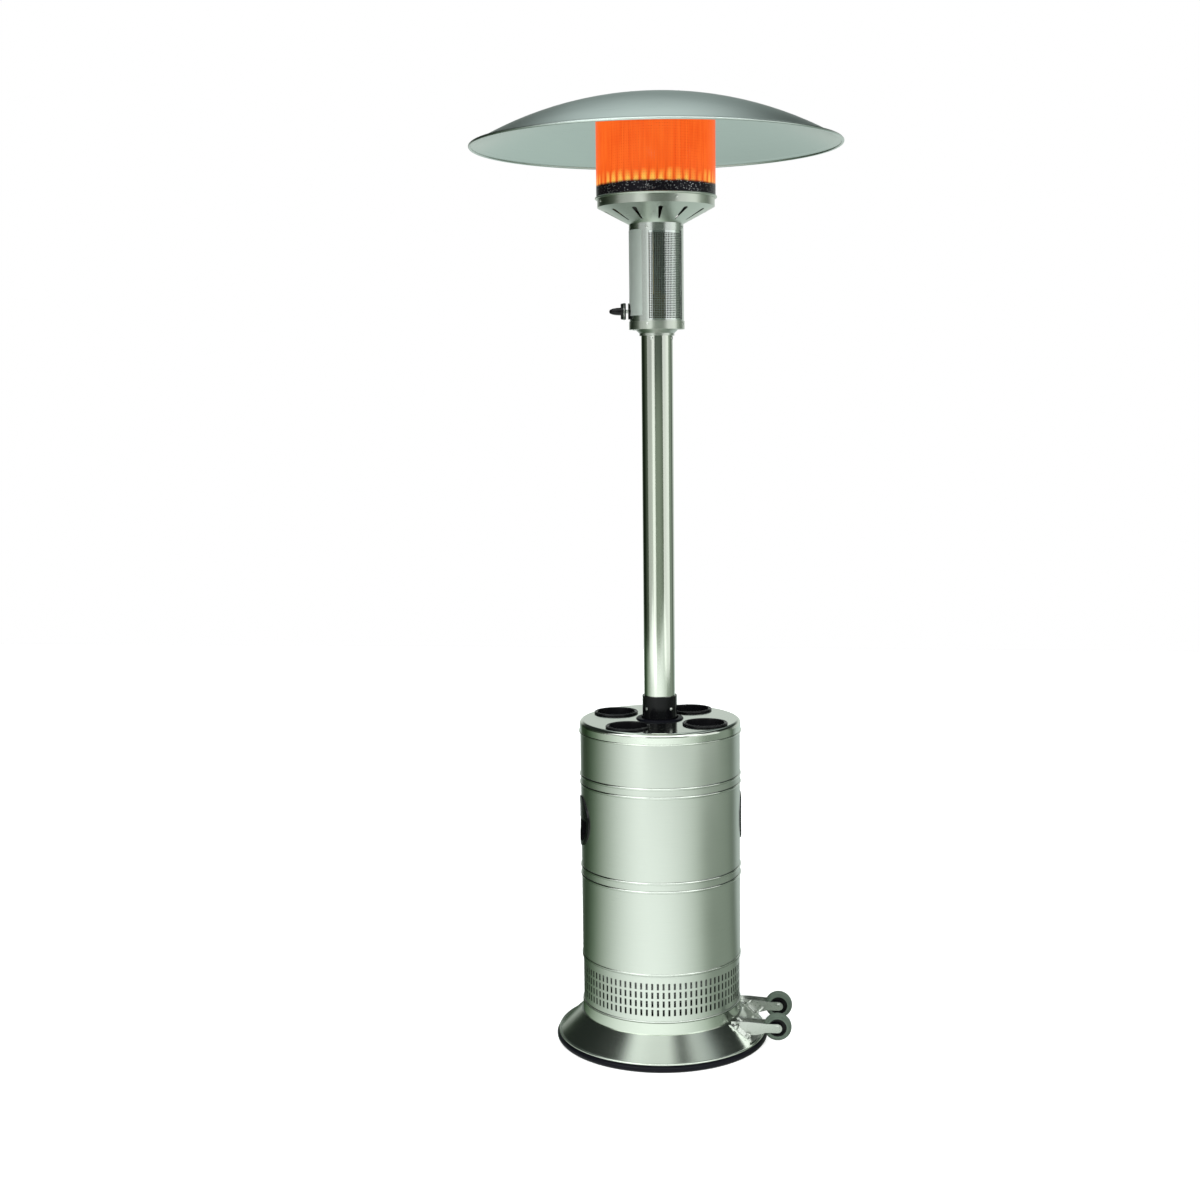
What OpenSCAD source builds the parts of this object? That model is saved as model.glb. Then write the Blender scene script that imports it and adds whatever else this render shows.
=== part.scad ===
// Propane patio heater: a weighted pressed foot with two tip-and-roll wheels, a slatted
// air band, a lift-up round cover over the gas cylinder, a tall post and a lit burner
// head under a domed reflector. Origin on the floor at the post's axis, +Z up, wheels
// towards +X.

/* [Base pan] */
// Radius of the pressed foot at its rolled edge
pan_r = 243.9; // [238:0.1:250]
// Height of the sloping flare
flare_h = 50.5; // [44:0.5:56]
// Height of the upright collar above the flare
collar_h = 27; // [22:0.5:34]
// How far the collar stands inside the flare's top
pan_step = 3; // [1.5:0.5:6]
// Thickness of the foot's steel
pan_t = 2; // [1.5:0.1:3]
// Height of the rubber edging the foot stands on
trim_h = 16; // [12:0.5:20]
// How far the rubber edging stands out past the foot's edge
trim_lip = 5.6; // [3:0.1:8]
// Thickness of the stiffening disc under the foot's floor
stiffener_t = 4; // [3:0.5:6]

/* [Air band] */
// Height of the slotted band
band_h = 109.5; // [104:0.5:118]
// Thickness of the slotted band
band_t = 1.5; // [1:0.1:2]
// Rows of slots
slot_rows = 4; // [1:1:4]
// Slots in one row
slot_count = 90; // [60:2:96]
// Height of a slot
slot_h = 15; // [10:0.5:17]
// Width of a slot
slot_w = 4.8; // [3:0.1:6]
// Height between one row and the next
slot_pitch = 20.4; // [19:0.1:21.5]

/* [Cover] */
// Outer radius of the cover's shell
cover_r = 185.9; // [184:0.1:189]
// Height of the cover's shell
cover_h = 532; // [522:1:562]
// Thickness of the shell's sheet
cover_t = 1.2; // [1:0.1:1.6]
// Height of the lid's upright edge
lid_h = 28; // [22:0.5:34]
// Radius of the lid's rounded corner
lid_corner = 9; // [6:0.5:9]
// Height of the upper pair of swaged ribs above the shell's lower edge
rib_high = 423.3; // [400:0.1:440]
// Height of the lower pair of swaged ribs above the shell's lower edge
rib_low = 206; // [180:0.1:230]
// Height between the two ribs of a pair
rib_gap = 20; // [14:0.5:26]
// Width of one rib
rib_w = 7; // [6:0.1:10]
// How far a rib stands out
rib_out = 2.4; // [1.5:0.1:3]
// How far the cover is turned round the post from the wheels
cover_turn = 15; // [10:1:20]

/* [Cups and grips] */
// Inner radius of a cup holder at its mouth
cup_r = 44; // [40:0.5:45]
// Inner radius of a cup holder at its floor
cup_floor_r = 38; // [34:0.5:39]
// Depth of a cup holder below the lid
cup_depth = 84; // [60:1:95]
// Thickness of a cup holder's wall
cup_t = 2; // [1.5:0.1:3]
// Width of a cup holder's rolled flange
cup_flange = 8; // [6:0.5:8.5]
// Distance of a cup holder from the post's axis
cup_reach = 126; // [122:0.5:128]
// Radius of a hand grip's outer bezel
grip_r = 58; // [50:0.5:62]
// Radius of a hand grip's recess
grip_well_r = 48; // [42:0.5:50]
// Depth of a hand grip's recess
grip_depth = 36; // [28:0.5:40]
// Height of a hand grip's middle above the shell's lower edge
grip_z = 326; // [310:0.5:330]
// How far a grip's bezel stands out
grip_out = 3; // [2:0.1:4]

/* [Frame and post] */
// Depth of the bridge plate's top below the lid's top
bridge_drop = 134.8; // [120:0.1:144]
// Radius of a support leg's tube
leg_r = 9.5; // [8:0.1:10]
// Distance of the legs from the post's axis
leg_reach = 168.8; // [168:0.1:170]
// Thickness of the bridge plate across the legs
bridge_t = 5; // [4:0.5:8]
// Outer radius of the post
post_r = 36.1; // [34:0.1:37]
// Wall of the post
post_t = 1.6; // [1.2:0.1:2.4]
// Length of the post
post_l = 1007; // [900:1:1050]
// Wall of the black socket round the post
socket_t = 4; // [3:0.1:4.5]
// How far the socket shows above the lid
socket_show = 56; // [48:1:62]

/* [Wheels] */
// Radius of a wheel
wheel_r = 32.5; // [30:0.5:34]
// Width of a wheel
wheel_w = 22; // [18:0.5:24]
// Distance of the wheels' axles from the post's axis
wheel_x = 275; // [272:0.5:282]
// Half the distance between the two wheels
wheel_y = 73; // [66:0.5:76]
// Height of the axles above the floor
wheel_z = 53; // [50:0.5:56]
// Thickness of a fork arm
arm_t = 3; // [2:0.1:4]
// Height of a fork arm at its round end
arm_w = 21; // [20:0.5:26]

/* [Burner head] */
// Outer radius of the control housing
housing_r = 61.5; // [58:0.1:64]
// Height of the control housing
housing_h = 234; // [226:1:250]
// Thickness of the control housing's sheet
housing_t = 1.2; // [1:0.1:1.6]
// Height of the housing's bottom ring
housing_ring = 18; // [14:0.5:20]
// Half the angle of the housing's window
window_half = 41.5; // [36:0.5:43]
// Columns of holes in the window's guard
guard_columns = 9; // [7:1:10]
// Rows of holes in the window's guard
guard_rows = 22; // [16:1:24]
// Outer radius of the burner bowl's upright rim
bowl_r = 132; // [126:0.5:134]
// Height of the bowl's cone
bowl_cone_h = 37.5; // [34:0.5:44]
// Height of the bowl's upright rim
bowl_rim_h = 23; // [18:0.5:28]
// Thickness of the bowl's sheet
bowl_t = 1.5; // [1.2:0.1:2]
// Teardrop air slots round the bowl
bowl_slots = 12; // [8:1:12]
// Radius of the glowing screen
screen_r = 134; // [128:0.5:135]
// Height of the glowing screen
screen_h = 166; // [150:1:180]
// Thickness of the glowing screen
screen_t = 1.2; // [1:0.1:1.6]
// How far the head is turned round the post from the wheels
head_turn = -60; // [-66:1:-54]

/* [Control knob] */
// Height of the knob's axis above the housing's foot
knob_z = 41; // [38:0.5:46]
// Direction of the knob, from the middle of the housing's window
knob_turn = -113; // [-118:1:-108]
// Radius of the knob's round skirt
knob_r = 19; // [16:0.5:20]
// Length of the knob's skirt
knob_skirt = 11.5; // [9:0.5:13]
// Length of the knob's grip beyond the skirt
knob_grip = 26; // [20:0.5:30]
// Thickness of the knob's grip
knob_grip_t = 16.4; // [12:0.2:18]
// How far the knob is pushed in to light the burner
knob_push = 4; // [3:0.5:5]

/* [Reflector] */
// Outer radius of the reflector
dome_r = 419.1; // [380:0.1:440]
// Rise of the reflector's dome
dome_h = 104; // [90:1:120]
// Thickness of the reflector's sheet
dome_t = 1.5; // [1.2:0.1:2]
// Width of the shallow brim
brim_w = 18; // [10:0.5:20]
// Drop of the brim to the rolled edge
brim_drop = 6; // [4:0.5:9]
// Height of the spacers between the screen's cap and the dome
stud_h = 51; // [35:1:60]
// Distance of the spacers from the axis
stud_reach = 60; // [55:1:90]

/* [Gas cylinder] */
// Radius of the gas cylinder
tank_r = 154.5; // [150:0.5:155]
// Height of the gas cylinder with its guard
tank_h = 457; // [450:1:462]
// Wall of the gas cylinder
tank_t = 3; // [2.5:0.1:3.5]
// Radius of the guard round the cylinder's valve
guard_r = 107; // [100:0.5:112]
// Height of the guard above the cylinder's shoulder
guard_h = 100; // [96:1:106]
// Radius of the cylinder's foot ring
foot_r = 102; // [96:0.5:108]
// Radius of the gas hose
hose_r = 5; // [4:0.1:6]
// Radius of the gas hose's bends
hose_bend = 45; // [40:1:48]

/* [Hidden] */
$fn = 96;

// Clearances: gap between pieces that move apart, play of a screw or shaft in its hole,
// overlap of joined solids, and how far a cut runs past the face it goes through
gap = 0.3;
play = 0.05;
eps = 0.01;
over = 1;

// Heights of the seats, from the floor up
flare_top = trim_h + flare_h;
floor_z = flare_top + collar_h;
band_top = floor_z + band_h;
shell_z = band_top + gap;
shell_top = shell_z + cover_h;
lid_top = shell_top + lid_h;
bridge_top = lid_top - bridge_drop;
leg_top = bridge_top - bridge_t;
leg_h = leg_top - floor_z;
post_z = bridge_top + 10;
post_top = post_z + post_l;
neck_h = 14;
housing_z = post_top + neck_h;
housing_top = housing_z + housing_h;
rim_z = housing_top + bowl_cone_h;
bowl_top = rim_z + bowl_rim_h;
screen_top = bowl_top + screen_h;
cap_t = 2;
cap_top = screen_top + cap_t;

// Flare of the foot: step radius, slope and the outer face's radius at a height
collar_r = cover_r + 1.1;
step_r = collar_r + pan_step;
flare_a = atan2(flare_h, pan_r - step_r);
flare_shift = pan_t / sin(flare_a);
function flare_r(z) = pan_r - (z - trim_h) / tan(flare_a);
edge_bead = 2.6;
edge_bead_in = 1.4;
edge_low = trim_h + 0.8;
sole_w = 8;
stiffener_hole_r = 60;
drill = 12;

// Air band
ledge_out = 2.6;
ledge_slope = 1.2;
band_flange = 14;
band_bead = 2.2;
slot_mid = 54.7;
seat_w = 16;
seat_t = 2;
seat_lip = 14;

// Seats of the cover
band_r = cover_r - cover_t - gap;
spigot_h = 9;
ledge_h = 4;
hem_h = 6;
hem_out = 1.6;
lid_r = cover_r + 1.5;
lid_t = 1.2;
grommet_w = 12;
hem_bead = 3;
lid_bead = 2.2;
lid_hole_edge = 3;
lid_cup_fit = 0.6;
grommet_lip = 9;
grommet_low = 3;
grommet_top = 4;
cup_bead = 2.2;
cup_mouth_bead = 1.6;
cup_rise = 3;
grip_wall = 2.2;
grip_reach = 70;
grip_plate_t = 4;
grip_plate_low = 6;
socket_r = post_r + play + socket_t;
screw_head_r = 4;
screw_head_h = 1.8;
grommet_r = socket_r + screw_head_h + 1.2;
cup_turn = cover_turn + 45;
grip_floor_r = cover_r - grip_depth;
grip_mid = shell_z + grip_z;

// Frame
leg_turn = -30;
leg_step = 90;
leg_plug = 14;
leg_t = 1.5;
bolt_r = 4;
bolt_head_r = 6.5;
bolt_head_h = 5;
socket_flange_r = 62;
socket_flange_t = 10;
socket_plate_t = 6;
socket_cone = [6, 14];
bridge_edge = 4;
bridge_rim = 12;
bolt_short = 2;
neck_spigot_h = 40;
neck_ring_w = 3.6;
neck_ring_h = 5.5;
neck_brim = 3;
neck_in = 13;
screw_r = 2.5;
socket_bolt_reach = 52;
hose_hole_r = hose_r + 7;
neck_screw_drop = 5.5;
socket_screw_h = 27;

// Casters
tyre_in = 21;
axle_r = 4;
arm_gap = 1.5;
foot_t = 3;
foot_half = 30;
foot_low = trim_h + 2 * edge_bead + 3;
foot_high = flare_top - 2.5;
foot_bolt_r = 3;
foot_bolt_y = 22;
foot_bolt_in = 9;
foot_nut_r = 5.8;
foot_nut_t = 4.5;
foot_thread = 9;
foot_head_t = 4;
arm_root = 60;
arm_tail = 40;
arm_clear = 6;
arm_neck = 14;
arm_low = wheel_z - 0.8 * arm_w;
axle_nut_r = 6.5;
axle_head_t = 4;
axle_nut_t = 5;
tread_ball = 16;
tyre_groove = [5.5, 1];
hub_boss_r = 9;
hub_web = 4;
hub_rim_w = 3;
hub_dish = 2;
hub_out = 0.8;

// Head
ring_t = 1.2;
sheet_fit = 0.15;
ring_r = housing_r + sheet_fit + ring_t;
screw_turn = 45;
window_low = housing_z + housing_ring + 3;
window_high = housing_top - 17;
ring_screw_z = housing_z + 11;
top_screw_z = housing_top - 9;
head_screw = [3, 1.6];
head_screw_l = 5;
knob_hole_r = 9;
guard_t = 0.8;
guard_lap = [6, 3];
guard_edge = 5;
guard_hole_r = 2.4;
bowl_bead = 2.4;
skirt_r = housing_r - housing_t - sheet_fit;
skirt_h = 13;
bowl_flange_in = 14;
bowl_turn = 25;
knob_axis = housing_z + knob_z;
knob_az = head_turn + knob_turn;
bezel_r = 18;
bezel_sink = 8;
bezel_face = housing_r + 3.4;
knob_face = bezel_face + knob_push + 1.2;
knob_lip = 3;
knob_socket = 8;
grip_steps = 10;
stem_r = 4;
valve_half = 20;
valve_low = housing_z + 21;
valve_h = 58;
valve_wide = 36;
boss_r = 11;
boss_l = 14;
boss_wall = 4;
collar_out_r = 8;
collar_w = 4;
stem_end = valve_half - 6;
inlet_h = 8;
outlet_r = 13;
outlet_h = 6;
orifice_r = 3;
orifice_h = 12;
bracket_reach = 51;
bracket_half = 14;
bracket_t = 3;
floor_t = 1.5;
venturi_r = 12;
venturi_z = valve_low + valve_h + 6;
burner_z = rim_z - 2;
burner_r = 92;
burner_h = 20;
pilot_reach = 104;
lead_r = 1.5;
lead_lift = 6;
lead_low = 2;
pilot_rise = 22;
probe_rise = 24;
spark_rise = 26;
probe_tip = [3, 12];
spark_tip = [3.5, 16];
venturi_t = 1.5;
venturi_lip = 2.5;
air_hole_z = 24;
air_hole_r = 5;
burner_t = 2;
burner_crown = 3;
burner_ports = 36;
pilot_step = 6;
pilot_tip = [5, 12];
probe_step = 3;
probe_port = 8;
probe_side = 16;
tilt_size = [16, 18, 30];
tilt_reach = 30;
tilt_cap = 5;
bowl_hole_r = 30;
teardrop_r = [1.8, 5.3];
teardrop_cut = 8;
cap_edge = 10;

// Reflector
dome_in = dome_r - brim_w;
dome_ball = (dome_in * dome_in + dome_h * dome_h) / (2 * dome_h);
dome_apex = cap_top + stud_h + dome_t + dome_ball - sqrt(dome_ball * dome_ball - stud_reach * stud_reach);
dome_centre = dome_apex - dome_ball;
dome_edge = dome_apex - dome_h;
dome_hem = 3;
stud_r = 5;
stud_screw_r = 3;
stud_count = 3;
stud_turn = 95;
nut_wash_r = 9;
nut_wash_t = 1.2;
nut_h = 4.6;
nut_r = 6;
nut_ball = 9;
dome_gap = 0.9;
stud_head = [5.5, 5];

// Gas cylinder and its fittings
tank_low = floor_z + 20;
tank_top = floor_z + tank_h - guard_h;
tank_corner = 68;
guard_sink = 5;
seat_r = foot_r + 1;
gas_turn = leg_turn - leg_step;
outlet_z = tank_top + 38;
nut_in = 32;
nut_out = 62;
regulator_reach = 2 * hose_bend + 6;
regulator_r = regulator_reach - nut_out - 5;
regulator_h = 24;
hose_low = outlet_z + regulator_h / 2 + 12;
hose_rise = 6;
handwheel_rise = 62;
wheel_hub_z = tank_top + handwheel_rise;
handwheel_r = 26;
handwheel_h = 13;
lobes = 8;
lobe_r = 5;
trough = [6, 4];
weld_r = 2.2;
guard_gap = 104;
guard_gap_z = 18;
hand_hole = [72, 24];
hand_hole_z = 60;
valve_sink = 6;
tank_bore_r = 13;
valve_hex_r = 18;
valve_hex_h = 12;
spindle_r = 5;
spindle_h = 23;
outlet_pipe_r = 10;
nut_grip = 13;
coupling_r = 18;
regulator_seam = 4;
regulator_port_r = 8;
regulator_port_h = 13;
regulator_vent = 5;

// Copies of a child set round the axis
module around(count, reach, turn, z) {
    for (i = [0 : count - 1])
        rotate([0, 0, turn + i * 360 / count]) translate([reach, 0, z]) children();
}

// A plain tube standing on z = 0
module tube(r, t, h) {
    difference() {
        cylinder(r = r, h = h);
        translate([0, 0, -1]) cylinder(r = r - t, h = h + 2);
    }
}

// A child drawn along +Z, laid along the direction of an azimuth at a height
module pointing(az, z) {
    rotate([0, 0, az]) translate([0, 0, z]) rotate([0, 90, 0]) children();
}

// A rod through a list of points, with a round bead at each bend
module rod(points, r) {
    for (i = [0 : len(points) - 2]) {
        span = points[i + 1] - points[i];
        reach = norm(span);
        translate(points[i]) rotate([0, acos(span[2] / reach), atan2(span[1], span[0])])
            cylinder(r = r, h = reach, $fn = 24);
    }
    for (i = [1 : len(points) - 2]) translate(points[i]) sphere(r = 1.2 * r, $fn = 24);
}

// A pan-head screw: its head on z = 0, its shank below
module screw(head_r, head_h, shank_r, shank_l) {
    intersection() {
        cylinder(r = head_r, h = head_h, $fn = 32);
        translate([0, 0, head_h - 2.4 * head_r]) sphere(r = 2.4 * head_r, $fn = 64);
    }
    translate([0, 0, -shank_l]) cylinder(r = shank_r, h = shank_l + eps, $fn = 24);
}

// A hexagon bolt: its head on z = 0, its shank below
module hex_bolt(head_r, head_h, shank_r, shank_l) {
    cylinder(r = head_r, h = head_h, $fn = 6);
    translate([0, 0, -shank_l]) cylinder(r = shank_r, h = shank_l + eps, $fn = 32);
}

// Rubber edging: a flat sole, a half-round outer face
module base_trim() {
    half = trim_h / 2;
    mid = pan_r + trim_lip - half;
    color([0.05, 0.05, 0.055]) rotate_extrude($fn = 180) {
        translate([mid, half]) circle(r = half, $fn = 48);
        translate([mid - sole_w, 0]) square([sole_w, trim_h]);
    }
}

// Places of the bolts that hold the caster feet, square to the flare
module foot_bolt_places() {
    for (side = [-1, 1], dy = [-1, 1], z = [foot_low + foot_bolt_in, foot_high - foot_bolt_in]) {
        y = side * wheel_y + dy * foot_bolt_y;
        rotate([0, 0, asin(y / flare_r(z))]) translate([flare_r(z), 0, z])
            rotate([0, flare_a, 0]) children();
    }
}

// Pressed foot: rolled edge, sloping flare, stepped collar and a flat floor
module base_pan() {
    color([0.72, 0.76, 0.71]) difference() {
        rotate_extrude($fn = 180) {
            polygon([
                [0, floor_z], [0, floor_z - pan_t], [collar_r - pan_t, floor_z - pan_t],
                [collar_r - pan_t, flare_top - pan_t], [flare_r(flare_top - pan_t) - flare_shift, flare_top - pan_t],
                [flare_r(edge_low) - flare_shift, edge_low], [flare_r(edge_low), edge_low],
                [step_r, flare_top], [collar_r, flare_top], [collar_r, floor_z]
            ]);
            translate([pan_r - edge_bead_in, trim_h + edge_bead]) circle(r = edge_bead, $fn = 32);
        }
        foot_bolt_places() translate([0, 0, -drill]) cylinder(r = foot_bolt_r + play, h = 2 * drill, $fn = 24);
        leg_places(floor_z - pan_t - over) cylinder(r = bolt_r + play, h = pan_t + 2 * over, $fn = 24);
    }
}

// Places of the three legs, the side of the fourth left open for the cylinder
module leg_places(z) {
    for (i = [0 : 2]) rotate([0, 0, leg_turn + i * leg_step]) translate([leg_reach, 0, z]) children();
}

// Stiffening disc under the floor, which takes the legs' bolts
module base_stiffener() {
    z = floor_z - pan_t - stiffener_t;
    color([0.5, 0.52, 0.52]) difference() {
        translate([0, 0, z]) cylinder(r = collar_r - pan_t - over, h = stiffener_t);
        translate([0, 0, z - over]) cylinder(r = stiffener_hole_r, h = stiffener_t + 2 * over);
        leg_places(z - over) cylinder(r = bolt_r + play, h = stiffener_t + 2 * over, $fn = 24);
    }
}

// Slotted air band with a foot flange, a ledge for the cover and a spigot inside it
module vent_band() {
    ledge_z = band_top - ledge_h;
    first_row = floor_z + slot_mid - (slot_rows - 1) / 2 * slot_pitch - slot_h / 2;
    color([0.74, 0.78, 0.71]) difference() {
        rotate_extrude($fn = 180) {
            polygon([
                [band_r, floor_z], [band_r, ledge_z], [band_r + ledge_out, ledge_z + ledge_slope],
                [band_r + ledge_out, band_top], [band_r, band_top], [band_r, band_top + spigot_h],
                [band_r - band_t, band_top + spigot_h], [band_r - band_t, floor_z + band_t],
                [band_r - band_flange, floor_z + band_t], [band_r - band_flange, floor_z]
            ]);
            translate([band_r, floor_z + band_bead]) circle(r = band_bead, $fn = 32);
        }
        for (row = [0 : slot_rows - 1], i = [0 : slot_count - 1])
            rotate([0, 0, i * 360 / slot_count])
                translate([band_r - band_t - over, -slot_w / 2, first_row + row * slot_pitch])
                    cube([band_t + 2 * over, slot_w, slot_h]);
        leg_places(floor_z - over) cylinder(r = leg_r + gap, h = band_t + 2 * over);
    }
}

// Ring on the floor that centres the gas cylinder's foot
module cylinder_seat() {
    color([0.55, 0.57, 0.56]) rotate_extrude() polygon([
        [seat_r, floor_z], [seat_r + seat_w, floor_z], [seat_r + seat_w, floor_z + seat_t],
        [seat_r + seat_t, floor_z + seat_t], [seat_r + seat_t, floor_z + seat_lip], [seat_r, floor_z + seat_lip]
    ]);
}

// One leg: a tube with plugged and tapped ends
module leg(i) {
    color([0.6, 0.62, 0.6]) rotate([0, 0, leg_turn + i * leg_step]) translate([leg_reach, 0, floor_z])
        difference() {
            cylinder(r = leg_r, h = leg_h, $fn = 48);
            translate([0, 0, leg_plug]) cylinder(r = leg_r - leg_t, h = leg_h - 2 * leg_plug, $fn = 48);
            for (z = [-over, leg_h - leg_plug - over])
                translate([0, 0, z]) cylinder(r = bolt_r + play, h = leg_plug + 2 * over, $fn = 24);
        }
}

// Three-armed plate across the legs that carries the post
module bridge() {
    arm = 2 * (leg_r + bridge_edge);
    color([0.55, 0.57, 0.56]) difference() {
        union() {
            translate([0, 0, leg_top]) cylinder(r = socket_flange_r + bridge_rim, h = bridge_t);
            leg_places(leg_top) {
                cylinder(r = arm / 2, h = bridge_t, $fn = 48);
                translate([-leg_reach, -arm / 2, 0]) cube([leg_reach, arm, bridge_t]);
            }
        }
        translate([0, 0, leg_top - over]) cylinder(r = hose_hole_r, h = bridge_t + 2 * over, $fn = 48);
        leg_places(leg_top - over) cylinder(r = bolt_r + play, h = bridge_t + 2 * over, $fn = 24);
        socket_bolt_places(leg_top - over) cylinder(r = bolt_r + play, h = bridge_t + 2 * over, $fn = 24);
    }
}

// Places of the four bolts of the post's socket
module socket_bolt_places(z) {
    around(4, socket_bolt_reach, 45, z) children();
}

// Black socket: a bolted flange and a sleeve that the post stands in
module post_socket() {
    sleeve = lid_top + socket_show - bridge_top;
    color([0.04, 0.04, 0.045]) difference() {
        translate([0, 0, bridge_top]) union() {
            cylinder(r = socket_flange_r, h = socket_plate_t);
            cylinder(r = socket_r, h = sleeve);
            cylinder(r1 = socket_r + socket_cone[0], r2 = socket_r, h = socket_cone[1]);
        }
        translate([0, 0, bridge_top - over]) cylinder(r = hose_hole_r, h = socket_flange_t + 2 * over, $fn = 48);
        translate([0, 0, post_z]) cylinder(r = post_r + play, h = sleeve);
        socket_bolt_places(bridge_top - over) cylinder(r = bolt_r + play, h = socket_plate_t + 2 * over, $fn = 24);
        post_screw_places(lid_top + socket_screw_h, screw_turn, 0) screw_hole(socket_t + post_t + over);
    }
}

// Directions of four screws round the post, at a depth from its face
module post_screw_places(z, turn, out) {
    for (i = [0 : 3]) rotate([0, 0, turn + i * 90]) translate([post_r + out, 0, z]) rotate([0, 90, 0]) children();
}

// Clearance hole for one of those screws
module screw_hole(depth) {
    translate([0, 0, -depth]) cylinder(r = screw_r + play, h = 2 * depth, $fn = 24);
}

// One of the frame's hexagon bolts
module frame_bolt(shank_l) {
    hex_bolt(bolt_head_r, bolt_head_h, bolt_r, shank_l);
}

// Hexagon bolts of the legs and of the socket's flange
module frame_bolts() {
    low = floor_z - pan_t - stiffener_t;
    color([0.75, 0.76, 0.75]) {
        leg_places(low) rotate([180, 0, 0]) frame_bolt(pan_t + stiffener_t + leg_plug - bolt_short);
        leg_places(bridge_top) frame_bolt(bridge_t + leg_plug - bolt_short);
        socket_bolt_places(bridge_top + socket_plate_t) frame_bolt(bridge_t + 2 * socket_plate_t);
    }
}

// Post: one straight tube, drilled for the screws at both ends
module post() {
    color([0.78, 0.8, 0.76]) difference() {
        translate([0, 0, post_z]) tube(post_r, post_t, post_l);
        post_screw_places(lid_top + socket_screw_h, screw_turn, 0) screw_hole(post_t + over);
        post_screw_places(post_top - neck_screw_drop, head_turn + screw_turn, 0) screw_hole(post_t + over);
    }
}

// Eight small screws, four in the socket and four at the neck
module post_screws() {
    color([0.85, 0.86, 0.84]) {
        post_screw_places(lid_top + socket_screw_h, screw_turn, play + socket_t)
            screw(screw_head_r, screw_head_h, screw_r, socket_t + post_t + 2 * over);
        post_screw_places(post_top - neck_screw_drop, head_turn + screw_turn, 0)
            screw(screw_head_r, screw_head_h, screw_r, post_t + 4 * over);
    }
}

// Neck: a cone under the housing, a ring on the post's end and a spigot inside it
module neck_adapter() {
    spigot_r = post_r - post_t - play;
    color([0.7, 0.73, 0.68]) difference() {
        rotate_extrude() polygon([
            [hose_hole_r, post_top - neck_spigot_h], [spigot_r, post_top - neck_spigot_h], [spigot_r, post_top],
            [post_r + neck_ring_w, post_top], [post_r + neck_ring_w, post_top + neck_ring_h],
            [housing_r - neck_in - neck_brim, housing_z - neck_brim], [housing_r - neck_in, housing_z],
            [hose_hole_r, housing_z]
        ]);
        post_screw_places(post_top - neck_screw_drop, head_turn + screw_turn, 0) screw_hole(post_t + 5 * over);
    }
}

// Outline of a fork arm seen from the side: a bar with a round end at the axle
module arm_outline() {
    translate([wheel_x, wheel_z]) circle(r = arm_w / 2, $fn = 48);
    root = flare_r(wheel_z) - arm_root;
    tail = flare_r(foot_high) - arm_tail;
    bend = wheel_x - wheel_r + arm_clear;
    translate([root, wheel_z - arm_w / 2]) square([wheel_x - root, arm_w]);
    polygon([
        [tail, arm_low], [flare_r(arm_low) + foot_t, arm_low], [bend, wheel_z - arm_w / 2],
        [bend, wheel_z + arm_w / 2], [flare_r(foot_high) + arm_neck, foot_high + foot_t], [tail, foot_high + foot_t]
    ]);
}

// The flare's outer face as a solid cone, moved out square to itself
module flare_cone(out) {
    low = trim_h - 20;
    high = flare_top + 20;
    shift = out / sin(flare_a);
    translate([0, 0, low]) cylinder(r1 = flare_r(low) + shift, r2 = flare_r(high) + shift, h = high - low, $fn = 180);
}

// One fork: a foot pressed to the flare and two arms that hold the axle
module caster_fork(side) {
    inner = wheel_w / 2 + arm_gap;
    color([0.78, 0.79, 0.77]) difference() {
        union() {
            difference() {
                for (arm = [-inner - arm_t, inner]) translate([0, side * wheel_y + arm + arm_t, 0])
                    rotate([90, 0, 0]) linear_extrude(height = arm_t) arm_outline();
                flare_cone(0);
            }
            difference() {
                intersection() {
                    flare_cone(foot_t);
                    translate([step_r - foot_half, side * wheel_y - foot_half, foot_low])
                        cube([pan_r, 2 * foot_half, foot_high - foot_low]);
                }
                flare_cone(0);
            }
        }
        translate([wheel_x, side * wheel_y - foot_half, wheel_z]) rotate([-90, 0, 0])
            cylinder(r = axle_r + play, h = 2 * foot_half, $fn = 32);
        foot_bolt_places() {
            translate([0, 0, -drill]) cylinder(r = foot_bolt_r + play, h = 2 * drill, $fn = 24);
            translate([0, 0, foot_t]) cylinder(r = foot_nut_r + 0.5, h = 2 * drill, $fn = 32);
        }
    }
}

// Bolts of the two caster feet: a head inside the pan, a nut and a thread end outside
module caster_bolts() {
    color([0.82, 0.83, 0.81]) foot_bolt_places() {
        translate([0, 0, foot_t]) cylinder(r = foot_nut_r, h = foot_nut_t, $fn = 6);
        translate([0, 0, -pan_t - foot_head_t / 2]) cylinder(r = foot_bolt_r, h = pan_t + foot_t + foot_thread, $fn = 24);
        translate([0, 0, -pan_t - foot_head_t - play]) cylinder(r = foot_nut_r, h = foot_head_t, $fn = 6);
    }
}

// Axle bolts: a head on one side, a nut on the other
module axle_bolts() {
    half = wheel_w / 2 + arm_gap + arm_t;
    color([0.85, 0.86, 0.84]) for (side = [-1, 1]) translate([wheel_x, side * wheel_y, wheel_z]) rotate([90, 0, 0]) {
        translate([0, 0, -half - over]) cylinder(r = axle_r, h = 2 * (half + over), $fn = 32);
        translate([0, 0, half]) cylinder(r = axle_nut_r, h = axle_head_t, $fn = 6);
        translate([0, 0, -half - axle_nut_t]) cylinder(r = axle_nut_r, h = axle_nut_t, $fn = 6);
    }
}

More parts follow.
